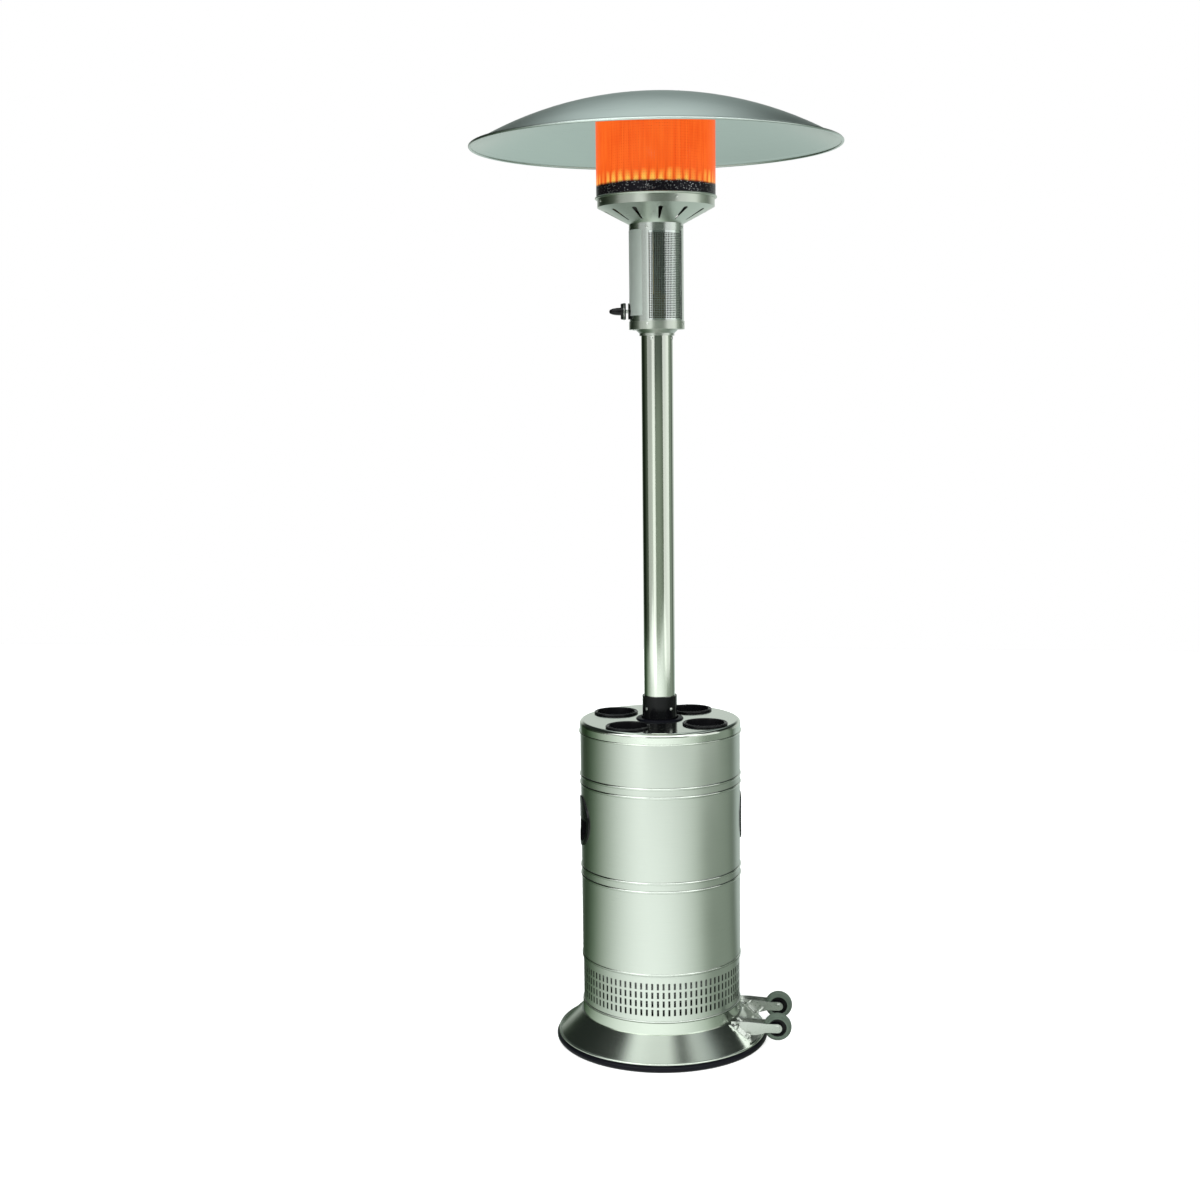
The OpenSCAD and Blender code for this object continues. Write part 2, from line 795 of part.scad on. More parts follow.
// Grey rubber tyre with a rounded tread and a shallow groove on each wall
module tyre(side) {
    color([0.33, 0.38, 0.33]) translate([wheel_x, side * wheel_y, wheel_z]) rotate([90, 0, 0]) rotate_extrude()
        difference() {
            intersection() {
                translate([tyre_in, -wheel_w / 2]) square([wheel_r - tyre_in, wheel_w]);
                translate([wheel_r - tread_ball, 0]) circle(r = tread_ball, $fn = 64);
            }
            for (wall = [-1, 1])
                translate([wheel_r - tyre_groove[0], wall * wheel_w / 2]) circle(r = tyre_groove[1], $fn = 24);
        }
}

// Black hub with a dished web and a bored boss
module hub(side) {
    half = wheel_w / 2;
    color([0.05, 0.05, 0.055]) translate([wheel_x, side * wheel_y, wheel_z]) rotate([90, 0, 0])
        rotate_extrude() polygon([
            [axle_r + play, -half - hub_out], [hub_boss_r, -half - hub_out], [hub_boss_r + 1, -hub_web],
            [tyre_in - hub_rim_w - 1, -hub_web], [tyre_in - hub_rim_w, -half + hub_dish], [tyre_in, -half + hub_dish],
            [tyre_in, half - hub_dish], [tyre_in - hub_rim_w, half - hub_dish], [tyre_in - hub_rim_w - 1, hub_web],
            [hub_boss_r + 1, hub_web], [hub_boss_r, half + hub_out], [axle_r + play, half + hub_out]
        ]);
}

// Middle radius of a rib's arc, from its width and how far it stands out
rib_ball = (rib_w * rib_w / 4 + rib_out * rib_out) / (2 * rib_out);

// Cover shell: a thin drum with two pairs of swaged ribs, a rolled hem and two holes
module cover_shell() {
    ribs = [rib_high - rib_gap / 2, rib_high + rib_gap / 2, rib_low - rib_gap / 2, rib_low + rib_gap / 2];
    color([0.72, 0.76, 0.7]) difference() {
        rotate_extrude($fn = 180) difference() {
            union() {
                translate([cover_r - cover_t, shell_z]) square([cover_t, cover_h + lid_h - lid_corner]);
                translate([cover_r - cover_t, shell_z]) square([cover_t + hem_out - over, hem_h]);
                translate([cover_r + hem_out - hem_bead, shell_z + hem_h / 2]) circle(r = hem_bead, $fn = 32);
                for (z = ribs) intersection() {
                    translate([cover_r + rib_out - rib_ball, shell_z + z]) circle(r = rib_ball, $fn = 64);
                    translate([cover_r - cover_t, shell_z + z - rib_w]) square([rib_w, 2 * rib_w]);
                }
            }
            for (z = ribs) translate([cover_r + rib_out - rib_ball, shell_z + z])
                circle(r = rib_ball - cover_t, $fn = 64);
            translate([cover_r - cover_t - hem_h, shell_z - over]) square([hem_h, hem_h + 2 * over]);
        }
        for (i = [0, 1]) pointing(cover_turn + i * 180, grip_mid)
            cylinder(r = grip_well_r + grip_wall, h = 2 * cover_r);
    }
}

// Lid: a flat top with a rounded corner, an upright edge and a bead, and five holes
module cover_lid() {
    corner = [lid_r - lid_corner, lid_top - lid_corner];
    color([0.78, 0.8, 0.76]) difference() {
        rotate_extrude($fn = 180) {
            translate([0, lid_top - lid_t]) square([corner[0], lid_t]);
            translate([lid_r - lid_t, shell_top]) square([lid_t, corner[1] - shell_top]);
            intersection() {
                translate(corner) difference() {
                    circle(r = lid_corner, $fn = 64);
                    circle(r = lid_corner - lid_t, $fn = 64);
                }
                translate(corner) square([lid_corner + over, lid_corner + over]);
            }
            intersection() {
                translate([lid_r - lid_t / 3, shell_top + lid_bead]) circle(r = lid_bead, $fn = 32);
                translate([lid_r - lid_t, shell_top]) square([2 * lid_bead + over, 2 * lid_bead + over]);
            }
        }
        translate([0, 0, lid_top - lid_t - over]) {
            cylinder(r = grommet_r + lid_hole_edge, h = lid_t + 2 * over);
            around(4, cup_reach, cup_turn, 0) cylinder(r = cup_r + cup_t + lid_cup_fit, h = lid_t + 2 * over);
        }
    }
}

// Rubber ring in the lid's middle hole, round the socket
module lid_grommet() {
    under = lid_top - lid_t;
    edge = grommet_r + lid_hole_edge;
    rim = grommet_r + grommet_w;
    color([0.05, 0.05, 0.055]) rotate_extrude() polygon([
        [grommet_r, under - grommet_low], [grommet_r + grommet_lip, under - grommet_low],
        [grommet_r + grommet_lip, under], [edge, under], [edge, lid_top], [rim, lid_top],
        [rim, lid_top + 0.25 * grommet_top], [rim - 2, lid_top + 0.8 * grommet_top],
        [grommet_r + 2, lid_top + grommet_top], [grommet_r, lid_top + 0.65 * grommet_top]
    ]);
}

// Cup holder: a tapered well with a rolled flange on the lid
module cup_holder(i) {
    low = lid_top - cup_depth;
    bead = cup_r + cup_flange - cup_bead;
    color([0.04, 0.04, 0.045]) rotate([0, 0, cup_turn + (i - 1) * 90]) translate([cup_reach, 0, 0])
        rotate_extrude() {
            polygon([
                [0, low], [cup_floor_r, low], [cup_r + cup_t, lid_top], [bead, lid_top], [bead, lid_top + cup_t],
                [cup_r + cup_t, lid_top + cup_rise + over], [cup_r, lid_top + cup_rise],
                [cup_floor_r - cup_t, low + cup_t], [0, low + cup_t]
            ]);
            translate([bead, lid_top + cup_bead]) circle(r = cup_bead, $fn = 32);
            translate([cup_r + cup_mouth_bead, lid_top + cup_rise]) circle(r = cup_mouth_bead, $fn = 32);
        }
}

// A round of the cover's own curve, from one radius to another, over the grip's height
module grip_curve(inner, outer, low, high) {
    translate([0, 0, grip_mid + low]) difference() {
        cylinder(r = outer, h = high - low, $fn = 180);
        translate([0, 0, -over]) cylinder(r = inner, h = high - low + 2 * over, $fn = 180);
    }
}

// A round plug that points out of the cover through the grip's middle
module grip_plug(r, inner, outer) {
    translate([inner, 0, grip_mid]) rotate([0, 90, 0]) cylinder(r = r, h = outer - inner);
}

// Hand grip: a curved bezel on the shell, a round well and a finger plate over its top half
module hand_grip(i) {
    out = cover_r + grip_out + over;
    color([0.03, 0.03, 0.035]) rotate([0, 0, cover_turn + (i - 1) * 180]) {
        difference() {
            intersection() {
                grip_curve(cover_r, cover_r + grip_out, -grip_reach, grip_reach);
                grip_plug(grip_r, grip_floor_r, out);
            }
            grip_plug(grip_well_r, grip_floor_r - over, out + over);
        }
        difference() {
            intersection() {
                translate([0, 0, grip_mid - grip_reach]) cylinder(r = cover_r + over, h = 2 * grip_reach, $fn = 180);
                grip_plug(grip_well_r + grip_wall - 0.2, grip_floor_r, out);
            }
            grip_plug(grip_well_r, grip_floor_r + grip_wall, out + over);
        }
        intersection() {
            grip_plug(grip_well_r + over, grip_floor_r + over, out);
            grip_curve(cover_r - grip_plate_t, cover_r + grip_out - 0.5, grip_plate_low, grip_reach);
        }
    }
}

// Bottom ring of the control housing with its floor
module housing_base() {
    color([0.72, 0.76, 0.7]) difference() {
        rotate_extrude() polygon([
            [hose_hole_r, housing_z], [ring_r, housing_z], [ring_r, housing_z + housing_ring],
            [ring_r - ring_t, housing_z + housing_ring], [ring_r - ring_t, housing_z + floor_t],
            [hose_hole_r, housing_z + floor_t]
        ]);
        bracket_screw_places(housing_z) screw_hole(4);
        head_screw_places(ring_r, ring_screw_z) screw_hole(4);
    }
}

// Four screw places round the head at a radius and a height
module head_screw_places(r, z) {
    for (i = [0 : 3]) rotate([0, 0, head_turn + screw_turn + i * 90]) translate([r, 0, z]) rotate([0, 90, 0]) children();
}

// Control housing: a tube with a tall window and a hole for the knob's bezel
module housing_shell() {
    low = housing_z + floor_t;
    color([0.76, 0.79, 0.74]) difference() {
        translate([0, 0, low]) tube(housing_r, housing_t, housing_top - low);
        rotate([0, 0, head_turn]) translate([0, 0, window_low]) rotate_extrude(angle = 2 * window_half, start = -window_half)
            translate([housing_r - housing_t - over, 0]) square([housing_t + 2 * over, window_high - window_low]);
        head_screw_places(housing_r, ring_screw_z) screw_hole(4);
        head_screw_places(housing_r, top_screw_z) screw_hole(4);
        pointing(knob_az, knob_axis) translate([0, 0, housing_r / 2]) cylinder(r = knob_hole_r, h = housing_r);
    }
}

// Perforated sheet behind the window
module window_guard() {
    half = window_half + guard_lap[1] + over;
    reach = window_half - guard_lap[1];
    step = 2 * reach / (guard_columns - 1);
    rise = (window_high - window_low - 2 * guard_edge) / (guard_rows - 1);
    color([0.6, 0.62, 0.62]) rotate([0, 0, head_turn]) difference() {
        rotate_extrude(angle = 2 * half, start = -half) translate([skirt_r - guard_t, window_low - guard_lap[0]])
            square([guard_t, window_high - window_low + guard_lap[0] + guard_lap[1]]);
        for (c = [0 : guard_columns - 1], r = [0 : guard_rows - 1])
            pointing(-reach + c * step, window_low + guard_edge + r * rise) translate([0, 0, skirt_r - guard_edge])
                cylinder(r = guard_hole_r, h = 2 * guard_edge, $fn = 24);
    }
}

// One of the head's small screws
module small_screw() {
    screw(head_screw[0], head_screw[1], screw_r, head_screw_l);
}

// Small screws of the head: the housing's two ends, the bowl's rim, the valve's bracket
module head_screws() {
    color([0.8, 0.82, 0.8]) {
        bracket_screw_places(housing_z) rotate([180, 0, 0]) small_screw();
        head_screw_places(ring_r, ring_screw_z) small_screw();
        head_screw_places(housing_r, top_screw_z) small_screw();
        for (i = [0 : 3]) rotate([0, 0, bowl_turn + i * 90]) translate([bowl_r, 0, rim_z + bowl_rim_h / 2])
            rotate([0, 90, 0]) small_screw();
    }
}

// Round black plate on the housing behind the knob
module knob_bezel() {
    color([0.04, 0.04, 0.045]) pointing(knob_az, knob_axis) difference() {
        union() {
            intersection() {
                translate([0, 0, housing_r - bezel_sink]) cylinder(r = bezel_r, h = bezel_face - housing_r + bezel_sink);
                rotate([0, 90, 0]) translate([0, 0, -housing_r]) tube(1.5 * housing_r, housing_r / 2, 2 * housing_r);
            }
            translate([0, 0, housing_r - bezel_sink]) cylinder(r = knob_hole_r - 0.1, h = bezel_sink + over);
        }
        translate([0, 0, housing_r - bezel_sink - over])
            cylinder(r = stem_r + 0.5, h = 2 * (bezel_sink + over), $fn = 48);
    }
}

// Places of the two screws that hold the valve's bracket to the housing's floor
module bracket_screw_places(z) {
    for (side = [-1, 1]) rotate([0, 0, knob_az]) translate([bracket_reach, side * 7, z]) children();
}

// Gas valve: a cast body with a stem boss, an inlet and an outlet
module gas_valve() {
    top = valve_low + valve_h;
    color([0.7, 0.6, 0.35]) difference() {
        union() {
            rotate([0, 0, knob_az]) translate([-valve_half, -valve_wide / 2, valve_low]) cube([2 * valve_half, valve_wide, valve_h]);
            pointing(knob_az, knob_axis) translate([0, 0, valve_half - over]) cylinder(r = boss_r, h = boss_l + over);
            translate([0, 0, valve_low - inlet_h]) cylinder(r = 9, h = inlet_h + over, $fn = 6);
            translate([0, 0, top - over]) cylinder(r = outlet_r, h = outlet_h + over);
            translate([0, 0, top + outlet_h - over]) cylinder(r = orifice_r, h = orifice_h, $fn = 32);
            rotate([0, 0, knob_az]) translate([valve_half - 2 * bracket_t, -bracket_half, housing_z + floor_t]) {
                cube([bracket_reach - valve_half + 11, 2 * bracket_half, bracket_t]);
                cube([bracket_t + over, 2 * bracket_half, valve_low - housing_z - floor_t + over]);
            }
        }
        bracket_screw_places(housing_z) screw_hole(head_screw_l + bracket_t);
        pointing(knob_az, knob_axis) {
            translate([0, 0, stem_end]) cylinder(r = stem_r + play, h = boss_l + boss_wall, $fn = 48);
            translate([0, 0, valve_half + boss_wall]) cylinder(r = collar_out_r + 0.5, h = boss_l);
        }
    }
}

// Collar that slides in the valve's boss with the stem and takes the return spring
module stem_collar() {
    color([0.6, 0.6, 0.6]) pointing(knob_az, knob_axis)
        translate([0, 0, valve_half + boss_wall + knob_push + over]) difference() {
            cylinder(r = collar_out_r, h = collar_w);
            translate([0, 0, -over]) cylinder(r = stem_r + play, h = collar_w + 2 * over, $fn = 48);
        }
}

// Stem from the valve to the knob
module valve_stem() {
    foot = stem_end + knob_push + over;
    color([0.75, 0.76, 0.75]) pointing(knob_az, knob_axis) translate([0, 0, foot])
        cylinder(r = stem_r, h = knob_face + knob_socket - foot, $fn = 48);
}

// Control knob: a round skirt and a tapered bar grip
module control_knob() {
    color([0.05, 0.05, 0.055]) pointing(knob_az, knob_axis) translate([0, 0, knob_face]) difference() {
        union() {
            cylinder(r1 = knob_r - 1, r2 = knob_r, h = knob_lip);
            translate([0, 0, knob_lip]) cylinder(r1 = knob_r, r2 = knob_r - 1.5, h = knob_skirt - knob_lip);
            intersection() {
                rotate_extrude() polygon(grip_side(knob_r - 2.5));
                rotate([90, 0, 0]) translate([0, 0, -knob_r]) linear_extrude(height = 2 * knob_r)
                    polygon(concat(grip_side(knob_grip_t / 2), [for (p = mirrored(grip_side(knob_grip_t / 2))) p]));
            }
        }
        translate([0, 0, -over]) cylinder(r = stem_r, h = knob_socket + over, $fn = 48);
    }
}

// Half outline of the knob's grip: a quarter oval that closes at the tip
function grip_side(half) = concat([[0, 0], [half, 0]], [for (i = [0 : grip_steps])
    let (turn = i * 90 / grip_steps, rise = knob_grip + 2)
    [half * pow(cos(min(turn, 86)), 0.7), knob_skirt - 2 + rise * sin(turn)]], [[0, knob_skirt + knob_grip]]);

// The same points on the other side, in the order that closes the outline
function mirrored(side) = [for (i = [len(side) - 2 : -1 : 1]) [-side[i][0], side[i][1]]];

// Mixing tube from the orifice to the burner, with four air holes
module venturi() {
    color([0.6, 0.6, 0.58]) difference() {
        translate([0, 0, venturi_z]) union() {
            cylinder(r = venturi_r, h = burner_z - venturi_z);
            cylinder(r1 = venturi_r + venturi_lip, r2 = venturi_r, h = 4 * venturi_lip);
        }
        translate([0, 0, venturi_z - over]) cylinder(r = venturi_r - venturi_t, h = burner_z - venturi_z + 2 * over);
        for (i = [0, 90]) pointing(i + 45, venturi_z + air_hole_z) translate([0, 0, -2 * venturi_r])
            cylinder(r = air_hole_r, h = 4 * venturi_r, $fn = 32);
    }
}

// Burner: a flat drum with ports round its wall
module burner() {
    inner = venturi_r - venturi_t;
    high = burner_z + burner_h;
    color([0.55, 0.53, 0.5]) difference() {
        rotate_extrude() polygon([
            [inner, burner_z], [burner_r, burner_z], [burner_r, high], [0, high + burner_crown],
            [0, high + burner_crown - burner_t], [burner_r - burner_t, high - burner_t],
            [burner_r - burner_t, burner_z + burner_t], [inner, burner_z + burner_t]
        ]);
        around(burner_ports, burner_r - 4 * burner_t, 0, high - 4 * burner_t) rotate([0, 90, 0])
            cylinder(r = 2, h = 8 * burner_t, $fn = 16);
    }
}

// Points of a lead from the valve's top, out over the bowl's floor and up beside the drum
function lead_points(port, reach, side, high) = [
    [port[0], port[1], valve_low + valve_h], [port[0], port[1], housing_top + lead_lift], [reach, side, rim_z - lead_low],
    [reach, side, high]
];

// Pilot burner: its gas line from the valve and a hooded tip beside the drum
module pilot_burner() {
    color([0.75, 0.62, 0.4]) rotate([0, 0, knob_az]) {
        rod(lead_points([valve_half - 3, 0], pilot_reach + pilot_step, 0, rim_z + pilot_rise), lead_r);
        translate([pilot_reach + pilot_step, 0, rim_z + 2 * lead_low]) cylinder(r = pilot_tip[0], h = pilot_tip[1], $fn = 32);
    }
}

// Thermocouple: its lead from the valve and its tip beside the pilot flame
module thermocouple() {
    reach = pilot_reach - probe_step;
    color([0.72, 0.5, 0.3]) rotate([0, 0, knob_az]) {
        rod(lead_points([probe_port, probe_side], reach, probe_side, rim_z + probe_rise), lead_r);
        translate([reach, probe_side, rim_z + lead_low]) cylinder(r = probe_tip[0], h = probe_tip[1], $fn = 24);
    }
}

// Igniter electrode: a lead and a white insulator with a wire tip
module igniter_electrode() {
    reach = pilot_reach - probe_step;
    color([0.9, 0.89, 0.85]) rotate([0, 0, knob_az]) {
        rod(lead_points([probe_port, -probe_side], reach, -probe_side, rim_z + spark_rise), 0.8 * lead_r);
        translate([reach, -probe_side, rim_z]) cylinder(r = spark_tip[0], h = spark_tip[1], $fn = 24);
    }
}

// Tilt switch on the housing's floor
module tilt_switch() {
    color([0.1, 0.1, 0.1]) rotate([0, 0, knob_az + 180]) translate([tilt_reach, 0, housing_z + floor_t]) {
        translate([0, -tilt_size[1] / 2, 0]) cube(tilt_size);
        translate([tilt_size[0] / 2, 0, tilt_size[2] - over]) cylinder(r = tilt_cap, h = tilt_cap + over, $fn = 32);
    }
}

// Burner bowl: a floor, a cone with teardrop slots, an upright rim and a beaded flange
module burner_bowl() {
    slope = atan2(bowl_cone_h, bowl_r - housing_r);
    side = bowl_t / sin(slope);
    color([0.74, 0.77, 0.72]) difference() {
        rotate_extrude($fn = 180) {
            polygon([
                [bowl_hole_r, housing_top], [skirt_r - bowl_t, housing_top], [skirt_r - bowl_t, housing_top - skirt_h],
                [skirt_r, housing_top - skirt_h], [skirt_r, housing_top], [housing_r, housing_top], [bowl_r, rim_z],
                [bowl_r, bowl_top - 2 * bowl_bead], [screen_r + 1, bowl_top - 2 * bowl_bead],
                [screen_r + 1, bowl_top], [bowl_r - bowl_flange_in, bowl_top],
                [bowl_r - bowl_flange_in, bowl_top - bowl_t], [bowl_r - bowl_t, bowl_top - bowl_t],
                [bowl_r - bowl_t, rim_z + bowl_t / 2], [housing_r - bowl_t / 2, housing_top + bowl_t],
                [bowl_hole_r, housing_top + bowl_t]
            ]);
            translate([screen_r + 1, bowl_top - bowl_bead]) circle(r = bowl_bead, $fn = 32);
        }
        head_screw_places(housing_r, top_screw_z) screw_hole(head_screw_l);
        around(bowl_slots, housing_r, bowl_turn - 180 / bowl_slots, housing_top) rotate([0, -slope, 0])
            translate([0, 0, -teardrop_cut]) linear_extrude(height = 2 * teardrop_cut)
                teardrop((bowl_r - housing_r) / cos(slope));
        for (i = [0 : 3]) rotate([0, 0, bowl_turn + i * 90]) translate([bowl_r, 0, rim_z + bowl_rim_h / 2])
            rotate([0, 90, 0]) screw_hole(head_screw_l);
    }
}

// Teardrop outline that lies along the cone, wide end outwards
module teardrop(span) {
    near = 0.2 * span;
    far = 0.72 * span;
    small = 0.93 * teardrop_r[0];
    big = 0.93 * teardrop_r[1];
    translate([near, 0]) circle(r = teardrop_r[0], $fn = 32);
    translate([far, 0]) circle(r = teardrop_r[1], $fn = 32);
    polygon([[near, -small], [far, -big], [far, big], [near, small]]);
}

// Glowing screen: a plain thin drum that stands on the bowl
module emitter_screen() {
    color([1, 0.4, 0.12]) translate([0, 0, bowl_top]) tube(screen_r, screen_t, screen_h);
}

// Cap that closes the screen: a disc with a short turned-down edge
module emitter_cap() {
    inner = screen_r - screen_t - sheet_fit;
    color([0.6, 0.6, 0.58]) difference() {
        union() {
            translate([0, 0, screen_top]) cylinder(r = screen_r, h = cap_t);
            translate([0, 0, screen_top - cap_edge]) tube(inner, bowl_t, cap_edge + eps);
        }
        around(stud_count, stud_reach, stud_turn, screen_top - over)
            cylinder(r = stud_screw_r + play, h = cap_t + 2 * over, $fn = 24);
    }
}

// Reflector: a spherical dome, a shallow brim and a rolled edge
module reflector() {
    hem = dome_r - dome_hem;
    color([0.7, 0.73, 0.69]) difference() {
        rotate_extrude($fn = 240) {
            intersection() {
                translate([0, dome_centre]) difference() {
                    circle(r = dome_ball, $fn = 360);
                    circle(r = dome_ball - dome_t, $fn = 360);
                }
                translate([0, dome_edge - 3 * dome_t]) square([dome_in, 2 * dome_h]);
            }
            polygon([
                [dome_in - over, dome_edge - 0.8 * dome_t], [hem, dome_edge - brim_drop - dome_t],
                [hem, dome_edge - brim_drop], [dome_in, dome_edge], [dome_in - over, dome_edge + 0.1 * dome_t]
            ]);
            translate([hem, dome_edge - brim_drop - over]) circle(r = dome_hem, $fn = 32);
        }
        around(stud_count, stud_reach, stud_turn, dome_apex - dome_h / 2)
            cylinder(r = stud_screw_r + play, h = dome_h, $fn = 24);
    }
}

// Spacers with their threaded studs, from the cap up through the dome
module reflector_studs() {
    thread = stud_h + dome_t + dome_gap + nut_wash_t + nut_h - over;
    color([0.75, 0.76, 0.75]) around(stud_count, stud_reach, stud_turn, cap_top) {
        cylinder(r = stud_r, h = stud_h - 0.5, $fn = 6);
        translate([0, 0, -cap_t - over]) cylinder(r = stud_screw_r, h = thread + cap_t + over, $fn = 24);
        translate([0, 0, -cap_t - stud_head[1]]) cylinder(r = stud_head[0], h = stud_head[1], $fn = 6);
    }
}

// Low cap nuts with their washers on top of the dome
module reflector_nuts() {
    base = cap_top + stud_h + dome_t + dome_gap;
    color([0.85, 0.86, 0.84]) around(stud_count, stud_reach, stud_turn, base) difference() {
        union() {
            cylinder(r = nut_wash_r, h = nut_wash_t, $fn = 48);
            intersection() {
                cylinder(r = nut_r, h = nut_wash_t + nut_h, $fn = 6);
                translate([0, 0, nut_wash_t + nut_h - nut_ball]) sphere(r = nut_ball, $fn = 64);
            }
        }
        translate([0, 0, -over]) cylinder(r = stud_screw_r, h = nut_wash_t + nut_h, $fn = 24);
    }
}

// Side outline of the gas cylinder's shell, drawn smaller by a wall
module tank_outline(wall) {
    r = tank_r - wall;
    low = tank_low + wall;
    high = tank_top - wall;
    corner = tank_corner - wall;
    square_low = low + corner;
    translate([r - corner, square_low]) circle(r = corner);
    translate([r - corner, high - corner]) circle(r = corner);
    translate([0, low]) square([r - corner, high - low]);
    translate([0, square_low]) square([r, high - corner - square_low]);
}

// Gas cylinder: a welded shell with a foot ring and a guard with hand holes
module gas_cylinder() {
    color([0.82, 0.83, 0.82]) difference() {
        union() {
            difference() {
                rotate_extrude($fn = 128) {
                    tank_outline(0);
                    translate([tank_r - 1.6, (tank_low + tank_top) / 2]) circle(r = weld_r, $fn = 32);
                }
                rotate_extrude($fn = 128) tank_outline(tank_t);
            }
            translate([0, 0, floor_z]) tube(foot_r, tank_t, tank_low - floor_z + 6);
            translate([0, 0, tank_top - guard_sink]) rotate([0, 0, gas_turn]) difference() {
                tube(guard_r, tank_t, guard_h + guard_sink);
                translate([0, -guard_gap / 2, guard_gap_z]) cube([2 * guard_r, guard_gap, guard_h]);
                for (a = [90, 270]) rotate([0, 0, a]) translate([0, -hand_hole[0] / 2, hand_hole_z])
                    cube([2 * guard_r, hand_hole[0], hand_hole[1]]);
            }
        }
        translate([0, 0, tank_top - 2 * valve_sink]) cylinder(r = tank_bore_r, h = 3 * valve_sink);
    }
}

// Brass valve of the cylinder with its side outlet
module cylinder_valve() {
    body_top = wheel_hub_z - 9;
    color([0.75, 0.62, 0.35]) {
        translate([0, 0, tank_top - valve_sink]) cylinder(r = tank_bore_r - 0.1, h = valve_sink + over);
        translate([0, 0, tank_top]) cylinder(r = valve_hex_r, h = valve_hex_h, $fn = 6);
        translate([0, 0, tank_top + valve_hex_h - over]) cylinder(r = tank_bore_r, h = body_top - tank_top - valve_hex_h + over);
        translate([0, 0, body_top - over]) cylinder(r = spindle_r, h = spindle_h + over, $fn = 32);
        pointing(gas_turn, outlet_z) cylinder(r = outlet_pipe_r, h = nut_in + nut_grip - over);
    }
}

// Handwheel of the cylinder's valve: a lobed rim on a bored boss
module handwheel() {
    color([0.12, 0.13, 0.14]) difference() {
        translate([0, 0, wheel_hub_z]) union() {
            cylinder(r = handwheel_r - lobe_r / 2, h = handwheel_h);
            around(lobes, handwheel_r - 0.8 * lobe_r, 180 / lobes, 0) cylinder(r = lobe_r, h = handwheel_h, $fn = 32);
        }
        translate([0, 0, wheel_hub_z - over]) cylinder(r = spindle_r + play, h = handwheel_h + 2 * over, $fn = 32);
        translate([0, 0, wheel_hub_z + handwheel_h - trough[1]]) tube(handwheel_r - 2 * lobe_r, trough[0], trough[1] + over);
    }
}

// Black ribbed nut that couples the regulator to the valve
module coupling_nut() {
    long = nut_out - nut_in;
    color([0.08, 0.08, 0.09]) difference() {
        pointing(gas_turn, outlet_z) translate([0, 0, nut_in]) union() {
            cylinder(r = coupling_r, h = long);
            around(12, coupling_r, 0, 2) cylinder(r = 2, h = long - 4, $fn = 24);
        }
        pointing(gas_turn, outlet_z) translate([0, 0, nut_in - over])
            cylinder(r = outlet_pipe_r + play, h = nut_grip + play);
    }
}

// Regulator: a round two-part case with an inlet, a vent cap and an upward outlet
module regulator() {
    half = regulator_h / 2;
    color([0.6, 0.62, 0.64]) rotate([0, 0, gas_turn]) translate([regulator_reach, 0, outlet_z]) {
        translate([0, 0, -half]) cylinder(r = regulator_r, h = half - over);
        translate([0, 0, -regulator_seam / 2]) cylinder(r = regulator_r + 3, h = regulator_seam);
        translate([0, 0, over]) cylinder(r1 = regulator_r, r2 = regulator_r - 5, h = half - over);
        translate([0, 0, half - over]) cylinder(r = regulator_port_r, h = regulator_port_h, $fn = 6);
        translate([0, 0, -half - regulator_vent]) cylinder(r = regulator_port_r, h = regulator_vent + over);
        translate([nut_out - regulator_reach, 0, 0]) rotate([0, 90, 0])
            cylinder(r = outlet_pipe_r - over, h = nut_grip);
    }
}

// Gas hose: up from the regulator, across to the axis and up inside the post
module gas_hose() {
    side = regulator_reach;
    start = hose_low + hose_rise;
    mid = start + hose_bend;
    turn_in = mid + hose_bend;
    color([0.06, 0.06, 0.065]) rotate([0, 0, gas_turn]) {
        translate([side, 0, hose_low]) cylinder(r = hose_r, h = hose_rise, $fn = 32);
        translate([side - hose_bend, 0, start]) rotate([90, 0, 0]) rotate_extrude(angle = 90)
            translate([hose_bend, 0]) circle(r = hose_r, $fn = 32);
        translate([hose_bend, 0, mid]) rotate([0, 90, 0]) cylinder(r = hose_r, h = side - 2 * hose_bend, $fn = 32);
        translate([hose_bend, 0, turn_in]) rotate([90, 0, 0]) rotate_extrude(angle = 90, start = 180)
            translate([hose_bend, 0]) circle(r = hose_r, $fn = 32);
        translate([0, 0, turn_in]) cylinder(r = hose_r, h = valve_low - inlet_h - turn_in, $fn = 32);
    }
}

base_trim();
base_pan();
base_stiffener();
vent_band();
cylinder_seat();
leg(0);  // leg_1
leg(1);  // leg_2
leg(2);  // leg_3
bridge();
post_socket();
frame_bolts();
post();
post_screws();
neck_adapter();
caster_fork(-1);  // caster_fork_front
caster_fork(1);  // caster_fork_rear
caster_bolts();
axle_bolts();
tyre(-1);  // tyre_front
tyre(1);  // tyre_rear
hub(-1);  // hub_front
hub(1);  // hub_rear
cover_shell();
cover_lid();
lid_grommet();
cup_holder(1);  // cup_holder_1
cup_holder(2);  // cup_holder_2
cup_holder(3);  // cup_holder_3
cup_holder(4);  // cup_holder_4
hand_grip(1);  // hand_grip_1
hand_grip(2);  // hand_grip_2
housing_base();
housing_shell();
window_guard();
head_screws();
knob_bezel();
gas_valve();
stem_collar();
valve_stem();
control_knob();
venturi();
burner();
pilot_burner();
thermocouple();
igniter_electrode();
tilt_switch();
burner_bowl();
emitter_screen();
emitter_cap();
reflector();
reflector_studs();
reflector_nuts();
gas_cylinder();
cylinder_valve();
handwheel();
coupling_nut();
regulator();
gas_hose();
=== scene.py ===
"""Propane patio heater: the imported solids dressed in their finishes, with the fine pieces on top.

Lengths are metres in the model's own frame: +Z up, the floor at z = 0, the wheels towards +X.
"""

import logging
import math
from dataclasses import dataclass
from enum import Enum
from typing import Sequence

import bmesh
import bpy
from mathutils import Matrix, Vector


